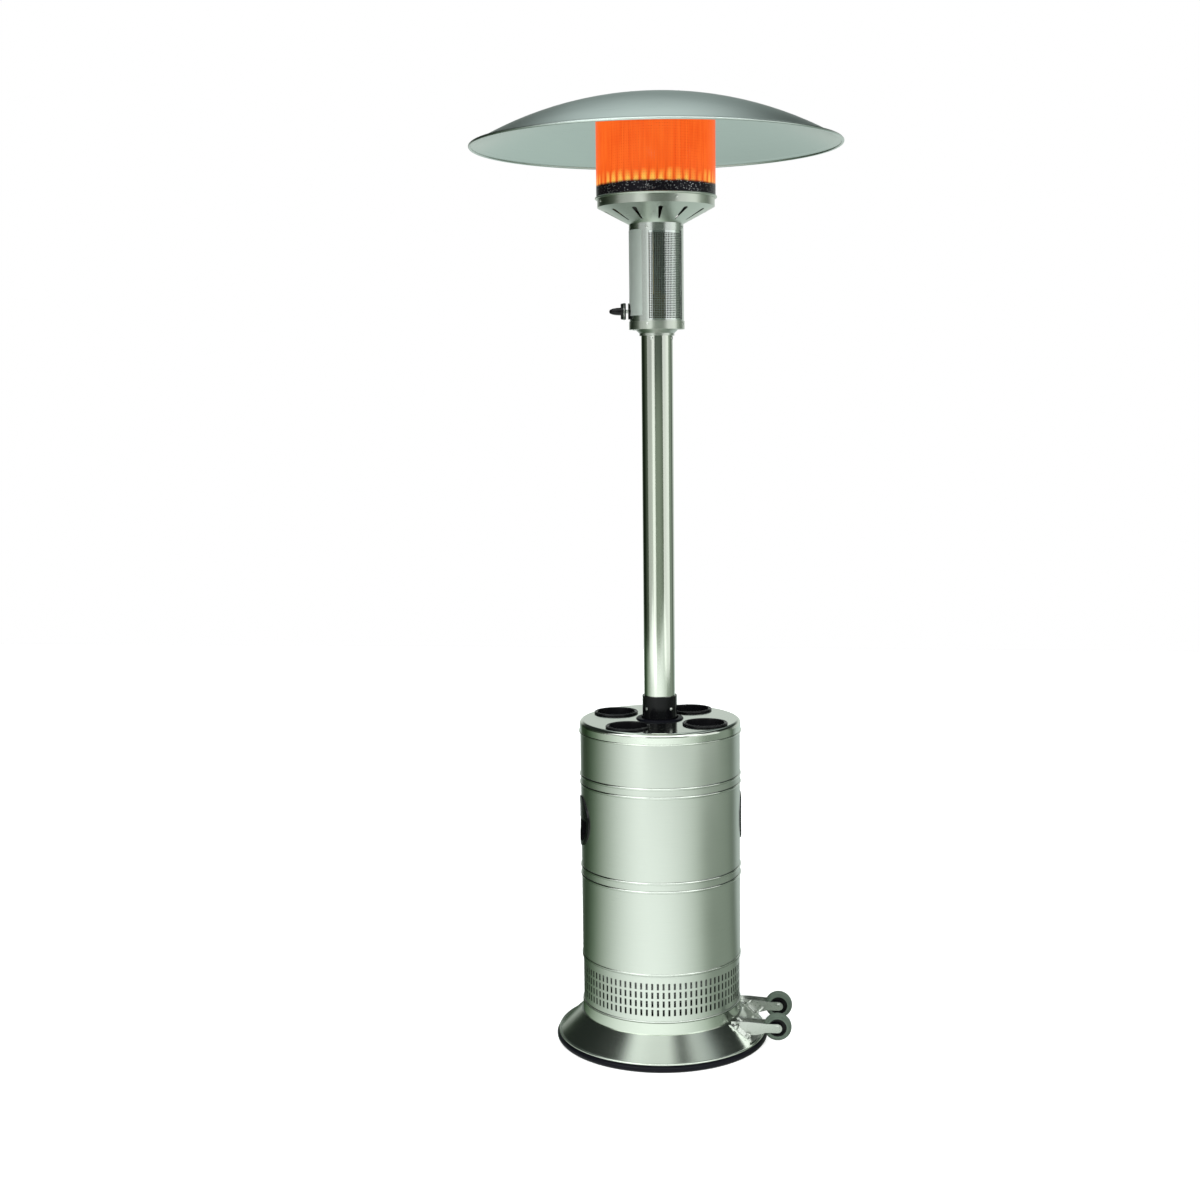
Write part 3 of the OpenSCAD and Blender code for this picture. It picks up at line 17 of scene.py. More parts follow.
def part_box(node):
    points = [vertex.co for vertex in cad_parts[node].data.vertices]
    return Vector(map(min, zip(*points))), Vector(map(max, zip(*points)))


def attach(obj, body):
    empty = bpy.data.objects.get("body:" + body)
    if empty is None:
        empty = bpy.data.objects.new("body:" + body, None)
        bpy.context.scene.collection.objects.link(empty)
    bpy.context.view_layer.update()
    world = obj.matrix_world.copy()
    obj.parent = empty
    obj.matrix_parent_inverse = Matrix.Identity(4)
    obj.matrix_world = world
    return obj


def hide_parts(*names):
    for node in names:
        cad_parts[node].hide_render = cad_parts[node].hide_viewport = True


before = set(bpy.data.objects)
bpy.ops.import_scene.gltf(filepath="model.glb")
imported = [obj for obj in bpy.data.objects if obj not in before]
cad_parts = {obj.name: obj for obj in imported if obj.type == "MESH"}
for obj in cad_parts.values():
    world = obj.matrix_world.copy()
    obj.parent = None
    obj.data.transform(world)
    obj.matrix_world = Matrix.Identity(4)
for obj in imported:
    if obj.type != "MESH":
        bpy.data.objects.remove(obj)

LOG = logging.getLogger("heater")

Colour = tuple[float, float, float]
Point = tuple[float, float, float]
Band = tuple[float, float]
Stops = tuple[tuple[float, Colour], ...]

WHITE: Colour = (1.0, 1.0, 1.0)
MIDDLE = 0.5  # the value that a noise swings about
SKIN_BLUR = 0.0002  # how sharply the inside of a sheet parts from its outside
POLISH_BLUR = 0.0006  # how softly a polished ridge ends
EDGE_ANGLE = 35.0  # an edge sharper than this, in degrees, stays sharp
FULL_TURN = 359.9  # a sheet that goes round this far, in degrees, is closed
LEAST_REACH = 0.001  # keeps a division finite on the post's axis
LEAST_HEIGHT = 0.01  # keeps a division finite at the horizon


class Grain(Enum):
    """Which way the brushing of a sheet runs."""

    ROUND = "round the post's axis"
    UPRIGHT = "up and down"
    DISC = "in rings on a flat disc"


class Number:
    """A number in a shader tree, whose arithmetic adds Math nodes."""

    def __init__(self, tree: "Tree", socket: bpy.types.NodeSocket) -> None:
        """Wraps a socket of the tree."""
        self.tree = tree
        self.socket = socket

    def _math(self, operation: str, *values: "Number | float") -> "Number":
        """Adds one Math node.

        Args:
            operation: the node's operation.
            values: its inputs, in order.

        Returns:
            The node's result.
        """
        node = self.tree.add("ShaderNodeMath", {"operation": operation}, dict(enumerate(values)))
        return Number(self.tree, node.outputs[0])

    def __add__(self, other: "Number | float") -> "Number":
        """self + other."""
        return self._math("ADD", self, other)

    def __sub__(self, other: "Number | float") -> "Number":
        """self - other."""
        return self._math("SUBTRACT", self, other)

    def __rsub__(self, other: float) -> "Number":
        """other - self."""
        return self._math("SUBTRACT", other, self)

    def __mul__(self, other: "Number | float") -> "Number":
        """self * other."""
        return self._math("MULTIPLY", self, other)

    def __truediv__(self, other: "Number | float") -> "Number":
        """self / other."""
        return self._math("DIVIDE", self, other)

    def __pow__(self, other: float) -> "Number":
        """self to a power."""
        return self._math("POWER", self, other)

    def sine(self) -> "Number":
        """The sine of an angle in radians."""
        return self._math("SINE", self)

    def size(self) -> "Number":
        """The value without its sign."""
        return self._math("ABSOLUTE", self)

    def angle(self, run: "Number") -> "Number":
        """The direction in radians of this height over a run."""
        return self._math("ARCTAN2", self, run)

    def clamped(self) -> "Number":
        """The value held between 0 and 1."""
        return self._math("MINIMUM", self._math("MAXIMUM", self, 0.0), 1.0)

    def step(self, low: float, high: float) -> "Number":
        """A smooth rise from 0 to 1.

        Args:
            low: the value where the rise starts.
            high: the value where it ends.

        Returns:
            The rise.
        """
        settings = {"interpolation_type": "SMOOTHSTEP"}
        values = {"Value": self, "From Min": low, "From Max": high}
        node = self.tree.add("ShaderNodeMapRange", settings, values)
        return Number(self.tree, node.outputs["Result"])


class Tree:
    """The node tree of one material or of the world, with short ways to fill it."""

    def __init__(self, name: str, world: bpy.types.World | None = None) -> None:
        """Makes a material with a bare Principled shader, or opens the world's tree.

        Args:
            name: the material's name.
            world: the world, if the tree is its own.
        """
        self.material = world or bpy.data.materials.new(name)
        self.material.use_nodes = True
        self.nodes = self.material.node_tree.nodes
        self.links = self.material.node_tree.links
        self.shader = next(n for n in self.nodes if n.type in ("BSDF_PRINCIPLED", "BACKGROUND"))
        self.output = next(n for n in self.nodes if n.type in ("OUTPUT_MATERIAL", "OUTPUT_WORLD"))
        space = "Generated" if world else "Object"
        self.place = self.add("ShaderNodeTexCoord", {}, {}).outputs[space]

    def add(self, kind: str, settings: dict, inputs: dict) -> bpy.types.Node:
        """Adds a node.

        Args:
            kind: the node's type.
            settings: its own properties, or a colour ramp's stops under "stops".
            inputs: values or links for its sockets, by name or number.

        Returns:
            The node.
        """
        node = self.nodes.new(kind)
        for key, value in settings.items():
            if key == "stops":
                ramp = node.color_ramp
                while len(ramp.elements) < len(value):
                    ramp.elements.new(MIDDLE)
                for element, (place, colour) in zip(ramp.elements, value):
                    element.position = place
                    element.color = (*colour, 1.0)
            else:
                setattr(node, key, value)
        for key, value in inputs.items():
            self.feed(node.inputs[key], value)
        return node

    def feed(self, socket: bpy.types.NodeSocket, value: object) -> None:
        """Links or sets one socket.

        Args:
            socket: the input.
            value: a Number, an output socket, a number or a colour.
        """
        if isinstance(value, Number):
            self.links.new(value.socket, socket)
        elif isinstance(value, bpy.types.NodeSocket):
            self.links.new(value, socket)
        elif isinstance(value, tuple) and len(value) == 3 and socket.type == "RGBA":
            socket.default_value = (*value, 1.0)
        else:
            socket.default_value = value

    def axes(self) -> tuple[Number, Number, Number]:
        """The place on the object along X, Y and Z, in metres."""
        split = self.add("ShaderNodeSeparateXYZ", {}, {0: self.place})
        return tuple(Number(self, split.outputs[i]) for i in range(3))

    def reach(self) -> Number:
        """The distance from the post's axis."""
        x, y, _ = self.axes()
        return (x * x + y * y) ** 0.5

    def turn(self) -> Number:
        """The direction round the post's axis, in radians."""
        x, y, _ = self.axes()
        return y.angle(x)

    def vector(
        self, x: Number | float, y: Number | float, z: Number | float
    ) -> bpy.types.NodeSocket:
        """Joins three numbers to a vector."""
        return self.add("ShaderNodeCombineXYZ", {}, {0: x, 1: y, 2: z}).outputs[0]

    def noise(self, place: bpy.types.NodeSocket, scale: float, detail: float = 3.0) -> Number:
        """Noise between 0 and 1 about its middle.

        Args:
            place: the vector that it is read at.
            scale: how fine it is.
            detail: how many finer layers it has.

        Returns:
            The noise.
        """
        values = {"Vector": place, "Scale": scale, "Detail": detail, "Roughness": MIDDLE}
        return Number(self, self.add("ShaderNodeTexNoise", {}, values).outputs[0])

    def cells(self, place: bpy.types.NodeSocket, scale: float) -> Number:
        """Distance to the nearest of scattered points."""
        node = self.add("ShaderNodeTexVoronoi", {}, {"Vector": place, "Scale": scale})
        return Number(self, node.outputs["Distance"])

    def blend(self, share: Number | float, low: object, high: object) -> bpy.types.NodeSocket:
        """Mixes two colours.

        Args:
            share: how much of the second colour shows.
            low: the colour at 0.
            high: the colour at 1.

        Returns:
            The mixed colour.
        """
        node = self.add("ShaderNodeMix", {"data_type": "RGBA"}, {"Factor": share})
        colours = [s for s in node.inputs if s.type == "RGBA"]
        self.feed(colours[0], low)
        self.feed(colours[1], high)
        return next(s for s in node.outputs if s.type == "RGBA")

    def ramp(self, share: Number, stops: Stops) -> bpy.types.NodeSocket:
        """A colour that follows a number through its stops."""
        return self.add("ShaderNodeValToRGB", {"stops": stops}, {0: share}).outputs[0]

    def bump(self, height: Number, depth: float, strength: float = 1.0) -> None:
        """Raises the surface by a height.

        Args:
            height: the height, as a share of the depth.
            depth: the depth in metres.
            strength: how strongly it shows.
        """
        values = {"Height": height, "Distance": depth, "Strength": strength}
        node = self.add("ShaderNodeBump", {}, values)
        self.feed(self.shader.inputs["Normal"], node.outputs[0])

    def set(self, **values: object) -> None:
        """Sets the shader's sockets, their spaces written as underscores."""
        for key, value in values.items():
            self.feed(self.shader.inputs[key.replace("_", " ")], value)


def shaded(colour: Colour, factor: float, lift: float = 0.0) -> Colour:
    """A darker or lighter copy of a colour.

    Args:
        colour: the colour.
        factor: what its parts are multiplied by.
        lift: what is then added to them.

    Returns:
        The new colour, no part of it above 1.
    """
    return tuple(min(1.0, part * factor + lift) for part in colour)


@dataclass(frozen=True)
class Finish:
    """A finish: its name, and how its shader is filled."""

    name: str

    def fill(self, tree: Tree) -> None:
        """Fills the shader's tree."""
        raise NotImplementedError

    def make(self) -> bpy.types.Material:
        """Builds the finish.

        Returns:
            Its material.
        """
        tree = Tree(self.name)
        self.fill(tree)
        return tree.material


@dataclass(frozen=True)
class Brushed(Finish):
    """Brushed or polished stainless steel, a little green, with faint smudges.

    Within the radius `inside` a tube is painted near black as painted shade, and made rougher;
    beyond the radius `proud` it is polished.
    The brushing's lines are `fine` across and `long` along; upright ones are `shorter`.
    """

    colour: Colour = (0.61, 0.645, 0.60)
    rough: float = 0.3
    grain: Grain = Grain.ROUND
    depth: float = 0.4
    smudge: float = 0.06
    inside: float = 0.0
    proud: float = 0.0
    streak: float = 0.08
    line_share: float = 0.6
    cloud_scale: float = 9.0
    darkest: float = 0.90
    lightest: float = 1.06
    fine: float = 1400.0
    long: float = 3.0
    shorter: float = 4.0
    line_h: float = 0.00004
    # the near black painted inside a tube as painted shade
    inside_shade: Colour = (0.03, 0.032, 0.03)
    dull_rough: float = 0.4
    polished: float = 0.12

    def lines(self, tree: Tree) -> Number:
        """The brushing's fine lines.

        Args:
            tree: the finish's tree.

        Returns:
            Noise that is drawn out along the brushing.
        """
        x, y, z = tree.axes()
        reach = tree.reach()
        if self.grain is Grain.ROUND:
            place = tree.vector(x / reach * self.long, y / reach * self.long, z * self.fine)
        elif self.grain is Grain.UPRIGHT:
            place = tree.vector(x * self.fine, y * self.fine, z * self.long * self.shorter)
        else:
            place = tree.vector(x / reach * self.long, y / reach * self.long, reach * self.fine)
        return tree.noise(place, 1.0, 2.0)

    def fill(self, tree: Tree) -> None:
        """Fills the shader.

        Args:
            tree: the finish's tree.
        """
        lines = self.lines(tree)
        cloud = tree.noise(tree.place, self.cloud_scale)
        dark, light = shaded(self.colour, self.darkest), shaded(self.colour, self.lightest)
        share = lines * self.line_share + cloud * (1 - self.line_share)
        steel = tree.blend(share.clamped(), dark, light)
        smudges = (cloud - MIDDLE) * self.smudge
        rough = smudges + (lines - MIDDLE) * self.streak + self.rough
        # Painted shade: inside the radius `inside` the steel is turned near black
        if self.inside:
            inside_shade_mask = tree.reach().step(self.inside + SKIN_BLUR, self.inside)
            steel = tree.blend(inside_shade_mask, steel, self.inside_shade)
            rough = rough + inside_shade_mask * self.dull_rough
        if self.proud:
            ridge = tree.reach().step(self.proud, self.proud + POLISH_BLUR)
            rough = rough - ridge * (self.rough - self.polished)
        tree.set(Base_Color=steel, Metallic=1.0, Roughness=rough)
        tree.bump(lines, self.line_h, self.depth)


@dataclass(frozen=True)
class Plated(Finish):
    """Zinc or nickel plate on screws, forks and brackets."""

    colour: Colour = (0.66, 0.68, 0.65)
    rough: float = 0.25
    spots: float = 0.12
    spangle_scale: float = 260.0
    cloud_scale: float = 60.0

    def fill(self, tree: Tree) -> None:
        """Fills the shader.

        Args:
            tree: the finish's tree.
        """
        spangle = tree.cells(tree.place, self.spangle_scale)
        cloud = tree.noise(tree.place, self.cloud_scale)
        tree.set(
            Base_Color=tree.blend(cloud, shaded(self.colour, 1 - self.spots), self.colour),
            Metallic=1.0,
            Roughness=spangle * self.spots + self.rough,
        )
        tree.bump(cloud, depth=0.00005, strength=0.3)


@dataclass(frozen=True)
class Moulded(Finish):
    """Moulded plastic or rubber with a fine sparkle grain."""

    colour: Colour = (0.005, 0.005, 0.006)
    rough: float = 0.34
    grain: float = 900.0
    depth: float = 0.00006
    gloss: float = 0.14
    cloud_scale: float = 14.0
    cloud_from: float = 0.35
    uneven: float = 0.14
    sparkle: float = 0.08
    wear: float = 1.6
    dust: float = 0.003

    def fill(self, tree: Tree) -> None:
        """Fills the shader.

        Args:
            tree: the finish's tree.
        """
        grain = tree.noise(tree.place, self.grain, 2.0)
        cloud = tree.noise(tree.place, self.cloud_scale)
        worn = shaded(self.colour, self.wear, self.dust)
        base = self.rough - self.uneven / 2
        tree.set(
            Base_Color=tree.blend((cloud - self.cloud_from).clamped(), self.colour, worn),
            Roughness=cloud * self.uneven + (grain - MIDDLE) * self.sparkle + base,
            Specular_IOR_Level=self.gloss,
        )
        tree.bump(grain, self.depth, strength=0.5)


@dataclass(frozen=True)
class Enamel(Finish):
    """Sprayed paint with a slight orange-peel skin."""

    colour: Colour
    rough: float = 0.3
    peel: float = 260.0
    gloss: float = 0.5
    cloud_scale: float = 7.0
    cloud_gain: float = 1.4
    cloud_from: float = 0.3
    uneven: float = 0.12
    wear: float = 0.9
    dust: float = 0.005

    def fill(self, tree: Tree) -> None:
        """Fills the shader.

        Args:
            tree: the finish's tree.
        """
        peel = tree.noise(tree.place, self.peel, 1.0)
        cloud = tree.noise(tree.place, self.cloud_scale, 4.0)
        dusty = shaded(self.colour, self.wear, self.dust)
        share = (cloud * self.cloud_gain - self.cloud_from).clamped()
        tree.set(
            Base_Color=tree.blend(share, self.colour, dusty),
            Roughness=cloud * self.uneven + (self.rough - self.uneven / 2),
            Specular_IOR_Level=self.gloss,
        )
        tree.bump(peel, depth=0.0001, strength=0.35)


@dataclass(frozen=True)
class Cast(Finish):
    """Cast or turned metal with a grainy skin."""

    colour: Colour
    rough: float = 0.42
    grit_scale: float = 700.0
    cloud_scale: float = 30.0
    uneven: float = 0.16
    gritty: float = 0.1
    darkest: float = 0.72

    def fill(self, tree: Tree) -> None:
        """Fills the shader.

        Args:
            tree: the finish's tree.
        """
        grit = tree.noise(tree.place, self.grit_scale)
        cloud = tree.noise(tree.place, self.cloud_scale, 4.0)
        base = self.rough - (self.uneven + self.gritty) / 2
        tree.set(
            Base_Color=tree.blend(cloud, shaded(self.colour, self.darkest), self.colour),
            Metallic=1.0,
            Roughness=cloud * self.uneven + grit * self.gritty + base,
        )
        tree.bump(grit, depth=0.00012, strength=0.5)


@dataclass(frozen=True)
class HeatTint(Finish):
    """Stainless steel that the flame has tinted brown and blue, its colours made far darker than
    bare steel as painted shade that also keeps the glow's reflection off it.
    """

    stain_scale: float = 22.0
    rough: float = 0.3
    uneven: float = 0.25
    # Real heat-tint hues, all kept very dark as painted shade
    tints_and_shade: Stops = (
        (0.30, (0.07, 0.07, 0.07)),
        (0.50, (0.05, 0.035, 0.025)),
        (0.68, (0.022, 0.02, 0.03)),
    )

    def fill(self, tree: Tree) -> None:
        """Fills the shader.

        Args:
            tree: the finish's tree.
        """
        stain = tree.noise(tree.place, self.stain_scale, 4.0)
        tree.set(
            Base_Color=tree.ramp(stain, self.tints_and_shade),
            Metallic=1.0,
            Roughness=stain * self.uneven + self.rough,
        )
        tree.bump(stain, depth=0.0001, strength=0.3)


@dataclass(frozen=True)
class Glow(Finish):
    """Perforated steel over the flame: dark at its foot, flames above, then an even orange.

    Only the skin outside the radius `skin` glows.
    """

    foot: float
    skin: float
    rough: float = 0.28
    uneven: float = 0.15
    gloss: float = 0.1
    drift_scale: float = 26.0
    cloud_scale: float = 12.0
    # The dark band, its wavy upper edge and the pale specks on it, which are painted glints
    dark_band: float = 0.024
    below: float = -0.003
    above: float = 0.004
    edge_sway: float = 0.008
    coal: Colour = (0.004, 0.003, 0.004)
    soot: Colour = (0.012, 0.012, 0.016)
    soot_sheen: float = 0.8
    painted_glint: Colour = (0.75, 0.75, 0.78)
    painted_glint_scale: float = 230.0
    painted_glint_band: Band = (0.34, 0.2)
    painted_glint_from: float = 0.3
    painted_glint_gain: float = 2.0
    # The streaked orange
    scorched: Colour = (0.02, 0.005, 0.002)
    hot: Colour = (1.0, 0.148, 0.016)
    deep: Colour = (0.90, 0.098, 0.009)
    streaks_round: float = 40.0
    streaks_up: float = 9.0
    streak_share: float = 0.6
    streak_band: Band = (0.62, 0.36)
    # The flames, strong in patches
    amber: Colour = (1.0, 0.50, 0.08)
    flames: int = 44
    flame_h: float = 0.030
    flame_low: float = 0.3
    flame_grow: float = 1.2
    flame_sway: float = 1.5
    flame_slim: float = 1.8
    flame_gain: float = 1.5
    patch_scale: float = 14.0
    patch_band: Band = (0.36, 0.58)
    patch_share: float = 0.7
    # The darker gaps between the flames
    gap: Colour = (0.42, 0.028, 0.004)
    gap_rise: float = 1.5
    gap_slim: float = 2.0
    gap_share: float = 0.5

    def burning(
        self, tree: Tree, rise: Number, drift: Number, cloud: Number
    ) -> bpy.types.NodeSocket:
        """The colours of the glow: amber flames on an orange that has darker gaps and streaks.

        Args:
            tree: the finish's tree.
            rise: the height over the dark band.
            drift: noise that moves the flames.
            cloud: noise that mottles the orange.

        Returns:
            The glow's colour.
        """
        turn = tree.turn()
        _, _, z = tree.axes()
        waves = (turn * self.flames / 2 + drift * self.flame_sway).sine().size()
        tall = (drift * self.flame_grow + self.flame_low) * self.flame_h
        patches = tree.noise(tree.place, self.patch_scale, 1.0).step(*self.patch_band)
        strong = patches * self.patch_share + (1 - self.patch_share)
        flame = (1 - (rise / tall).clamped()) * waves ** self.flame_slim * strong
        low = 1 - (rise / (self.flame_h * self.gap_rise)).clamped()
        gaps = low * (1 - waves) ** self.gap_slim
        place = tree.vector(turn * self.streaks_round, 0.0, z * self.streaks_up)
        streaks = tree.noise(place, 1.0, 2.0) * self.streak_share
        mottled = (streaks + cloud * (1 - self.streak_share)).step(*self.streak_band)
        body = tree.blend(mottled, self.hot, self.deep)
        body = tree.blend((gaps * self.gap_share).clamped(), body, self.gap)
        return tree.blend((flame * self.flame_gain).clamped(), body, self.amber)

    def fill(self, tree: Tree) -> None:
        """Fills the shader.

        Args:
            tree: the finish's tree.
        """
        _, _, z = tree.axes()
        drift = tree.noise(tree.place, self.drift_scale, 2.0)
        cloud = tree.noise(tree.place, self.cloud_scale)
        rise = z - (self.foot + self.dark_band)
        edge = rise + (drift - MIDDLE) * self.edge_sway
        lit = edge.step(self.below, self.above)
        outer = tree.reach().step(self.skin - SKIN_BLUR, self.skin)
        # Painted glints: pale specks scattered over the dark band
        glint_specks = tree.cells(tree.place, self.painted_glint_scale).step(*self.painted_glint_band)
        painted_glints = glint_specks * (drift - self.painted_glint_from).clamped() * self.painted_glint_gain
        soot = tree.blend(painted_glints.clamped(), self.soot, self.painted_glint)
        burning = self.burning(tree, rise, drift, cloud)
        tree.set(
            Base_Color=tree.blend(lit, soot, self.scorched),
            Metallic=edge.step(self.above, self.below) * self.soot_sheen,
            Roughness=cloud * self.uneven + self.rough,
            Specular_IOR_Level=self.gloss,
            Emission_Color=tree.blend(lit * outer, self.coal, burning),
            Emission_Strength=1.0,
        )


@dataclass(frozen=True)
class BarePlate(Finish):
    """Pale anodised plate, quite bare, with a fine satin skin."""

    colour: Colour = (0.60, 0.66, 0.62)
    rough: float = 0.36
    cloud_scale: float = 40.0
    grain_scale: float = 1500.0
    darkest: float = 0.88
    metal: float = 0.35
    uneven: float = 0.1
    gritty: float = 0.08

    def fill(self, tree: Tree) -> None:
        """Fills the shader.

        Args:
            tree: the finish's tree.
        """
        cloud = tree.noise(tree.place, self.cloud_scale)
        grain = tree.noise(tree.place, self.grain_scale, 2.0)
        tree.set(
            Base_Color=tree.blend(cloud, shaded(self.colour, self.darkest), self.colour),
            Metallic=self.metal,
            Roughness=grain * self.gritty + cloud * self.uneven + self.rough,
        )
        tree.bump(grain, depth=0.00003, strength=0.3)


class Finishes:
    """Makes each finish once and hands it out."""

    def __init__(self) -> None:
        """Starts with nothing made."""
        self.made: dict[str, bpy.types.Material] = {}

    def of(self, finish: Finish) -> bpy.types.Material:
        """The material of a finish.

        Args:
            finish: one of the finish classes above.

        Returns:
            Its material, built at its first use.
        """
        if finish.name not in self.made:
            self.made[finish.name] = finish.make()
        return self.made[finish.name]

    def dress(self, finish: Finish, *nodes: str) -> None:
        """Gives CAD nodes a finish.

        Args:
            finish: the finish.
            nodes: the nodes' names.
        """
        for name in nodes:
            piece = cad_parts[name]
            if not piece.material_slots:
                piece.data.materials.append(None)
            for slot in piece.material_slots:
                slot.material = self.of(finish)
            LOG.info("dressed %s in %s", name, finish.name)


def on_axis(radius: float, turn: float, z: float) -> Vector:
    """A point at a radius and a direction in degrees round the post's axis."""
    angle = math.radians(turn)
    return Vector((radius * math.cos(angle), radius * math.sin(angle), z))


def new_object(name: str, data: bpy.types.ID) -> bpy.types.Object:
    """Puts a mesh, a lamp or a camera in the scene.

    Args:
        name: the object's name.
        data: what it holds.

    Returns:
        The object.
    """
    made = bpy.data.objects.new(name, data)
    bpy.context.scene.collection.objects.link(made)
    return made


def new_mesh(name: str, mesh: bmesh.types.BMesh, material: bpy.types.Material) -> bpy.types.Mesh:
    """Stores an edited mesh under a name, with its finish.

    Args:
        name: the mesh's name.
        mesh: the mesh, which is freed.
        material: its finish.

    Returns:
        The stored mesh.
    """
    data = bpy.data.meshes.new(name)
    mesh.to_mesh(data)
    mesh.free()
    data.materials.append(material)
    return data


def piece_from(
    name: str, mesh: bmesh.types.BMesh, body: str, material: bpy.types.Material
) -> bpy.types.Object:
    """Turns a mesh into a piece that rides on a body.

    Args:
        name: the piece's name.
        mesh: its mesh, which is freed.
        body: the CAD body that it moves with.
        material: its finish.

    Returns:
        The piece.
    """
    bmesh.ops.recalc_face_normals(mesh, faces=mesh.faces)
    data = new_mesh(name, mesh, material)
    data.shade_smooth()
    piece = new_object(name, data)
    piece.modifiers.new("edges", "EDGE_SPLIT").split_angle = math.radians(EDGE_ANGLE)
    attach(piece, body)
    LOG.info("made %s on %s: %d faces", name, body, len(data.polygons))
    return piece


@dataclass
class CurvedMesh:
    """A thin round sheet with a grid of round holes, and plain strips above and below."""

    radius: float
    thick: float
    start: float
    end: float
    low: float
    high: float
    columns: int
    rows: int
    hole: float
    margin: float
    sides: int = 8
    first_corner: float = 225.0

    def build(self) -> bmesh.types.BMesh:
        """Builds the sheet's mid surface.

        Returns:
            Its mesh, one face deep.
        """
        mesh = bmesh.new()
        whole = self.end - self.start >= FULL_TURN
        lines = self.columns if whole else self.columns + 1
        wide = (self.end - self.start) / self.columns
        tall = (self.high - self.low - 2 * self.margin) / self.rows
        holed = [self.low + self.margin + i * tall for i in range(self.rows + 1)]
        heights = [self.low, *holed, self.high]
        grid = [
            [mesh.verts.new(on_axis(self.radius, self.start + c * wide, z)) for c in range(lines)]
            for z in heights
        ]
        for r in range(len(heights) - 1):
            under, over = grid[r], grid[r + 1]
            for c in range(self.columns):
                after = (c + 1) % lines
                corners = [under[c], under[after], over[after], over[c]]
                if r in (0, len(heights) - 2):
                    mesh.faces.new(corners)
                else:
                    middle_z = (heights[r] + heights[r + 1]) / 2
                    self.holed_cell(mesh, corners, self.start + (c + 0.5) * wide, middle_z)
        return mesh

    def holed_cell(
        self, mesh: bmesh.types.BMesh, corners: list[bmesh.types.BMVert], turn: float, z: float
    ) -> None:
        """Fills one cell of the grid round its hole.

        Args:
            mesh: the mesh that gets the faces.
            corners: the cell's corners, in order.
            turn: the direction of its middle in degrees.
            z: the height of its middle.
        """
        half = math.degrees(self.hole / self.radius)
        ring = []
        for i in range(self.sides):
            angle = math.radians(self.first_corner + i * 360 / self.sides)
            place = on_axis(
                self.radius, turn + half * math.cos(angle), z + self.hole * math.sin(angle)
            )
            ring.append(mesh.verts.new(place))
        per = self.sides // 4
        for k in range(4):
            arc = [ring[(k * per + j) % self.sides] for j in range(per, -1, -1)]
            mesh.faces.new([corners[k], corners[(k + 1) % 4], *arc])

    def piece(
        self, name: str, body: str, slot: str, material: bpy.types.Material, node: str
    ) -> bpy.types.Object:
        """Makes the sheet and lets it stand for a CAD node.

        Args:
            name: the piece's name.
            body: the body that it rides on.
            slot: the record's material slot; not used.
            material: its finish.
            node: the CAD node that it replaces.

        Returns:
            The piece.
        """
        sheet = piece_from(name, self.build(), body, material)
        skin = sheet.modifiers.new("thickness", "SOLIDIFY")
        # The thickness comes first, so that the rims of the holes are split and stay sharp
        sheet.modifiers.move(1, 0)
        skin.thickness = self.thick
        skin.offset = 0.0
        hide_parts(node)
        return sheet


def patch(
    radius: float, thick: float, start: float, end: float, low: float, high: float, steps: int = 24
) -> bmesh.types.BMesh:
    """A plate curved round the axis, closed on every side and rounded at its edge.

    Args:
        radius: its inner radius.
        thick: its thickness.
        start: its first direction in degrees.
        end: its last direction in degrees.
        low: its lower height.
        high: its upper height.
        steps: how many faces it has round the curve.

    Returns:
        The mesh.
    """
    mesh = bmesh.new()
    lip = 0.3 * thick
    outer = radius + thick
    spread = math.degrees(lip / radius)
    section = [
        (radius, low, 0.0),
        (outer - lip, low, 0.0),
        (outer, low + lip, spread),
        (outer, high - lip, spread),
        (outer - lip, high, 0.0),
        (radius, high, 0.0),
    ]
    rings = []
    for i in range(steps + 1):
        ring = []
        for reach, z, pull in section:
            turn = start + pull + (end - start - 2 * pull) * i / steps
            ring.append(mesh.verts.new(on_axis(reach, turn, z)))
        rings.append(ring)
    for near, far in zip(rings, rings[1:]):
        for i in range(len(section)):
            j = (i + 1) % len(section)
            mesh.faces.new([near[i], near[j], far[j], far[i]])
    mesh.faces.new(rings[0][::-1])
    mesh.faces.new(rings[-1])
    return mesh


def lathe(
    outline: Sequence[tuple[float, float]], at: Vector, axis: Vector, steps: int
) -> bmesh.types.BMesh:
    """Turns a closed outline round an axis.

    Args:
        outline: (radius, height along the axis) of each corner, in order.
        at: the foot of the axis.
        axis: its direction.
        steps: how many faces go round.

    Returns:
        The mesh.
    """
    mesh = bmesh.new()
    tilt = Vector((0, 0, 1)).rotation_difference(axis.normalized()).to_matrix()
    rings = []
    for i in range(steps):
        turn = 360 * i / steps
        rings.append([mesh.verts.new(at + tilt @ on_axis(r, turn, h)) for r, h in outline])
    for i in range(steps):
        near, far = rings[i], rings[(i + 1) % steps]
        for j in range(len(outline)):
            k = (j + 1) % len(outline)
            mesh.faces.new([near[j], near[k], far[k], far[j]])
    return mesh


SATIN = Brushed("satin_steel")
LID_STEEL = Brushed("lid_steel", (0.66, 0.70, 0.64), 0.13, Grain.DISC, 0.3)
BRIGHT_POST = Brushed("bright_post", (0.66, 0.69, 0.63), 0.10, Grain.UPRIGHT, 0.15)
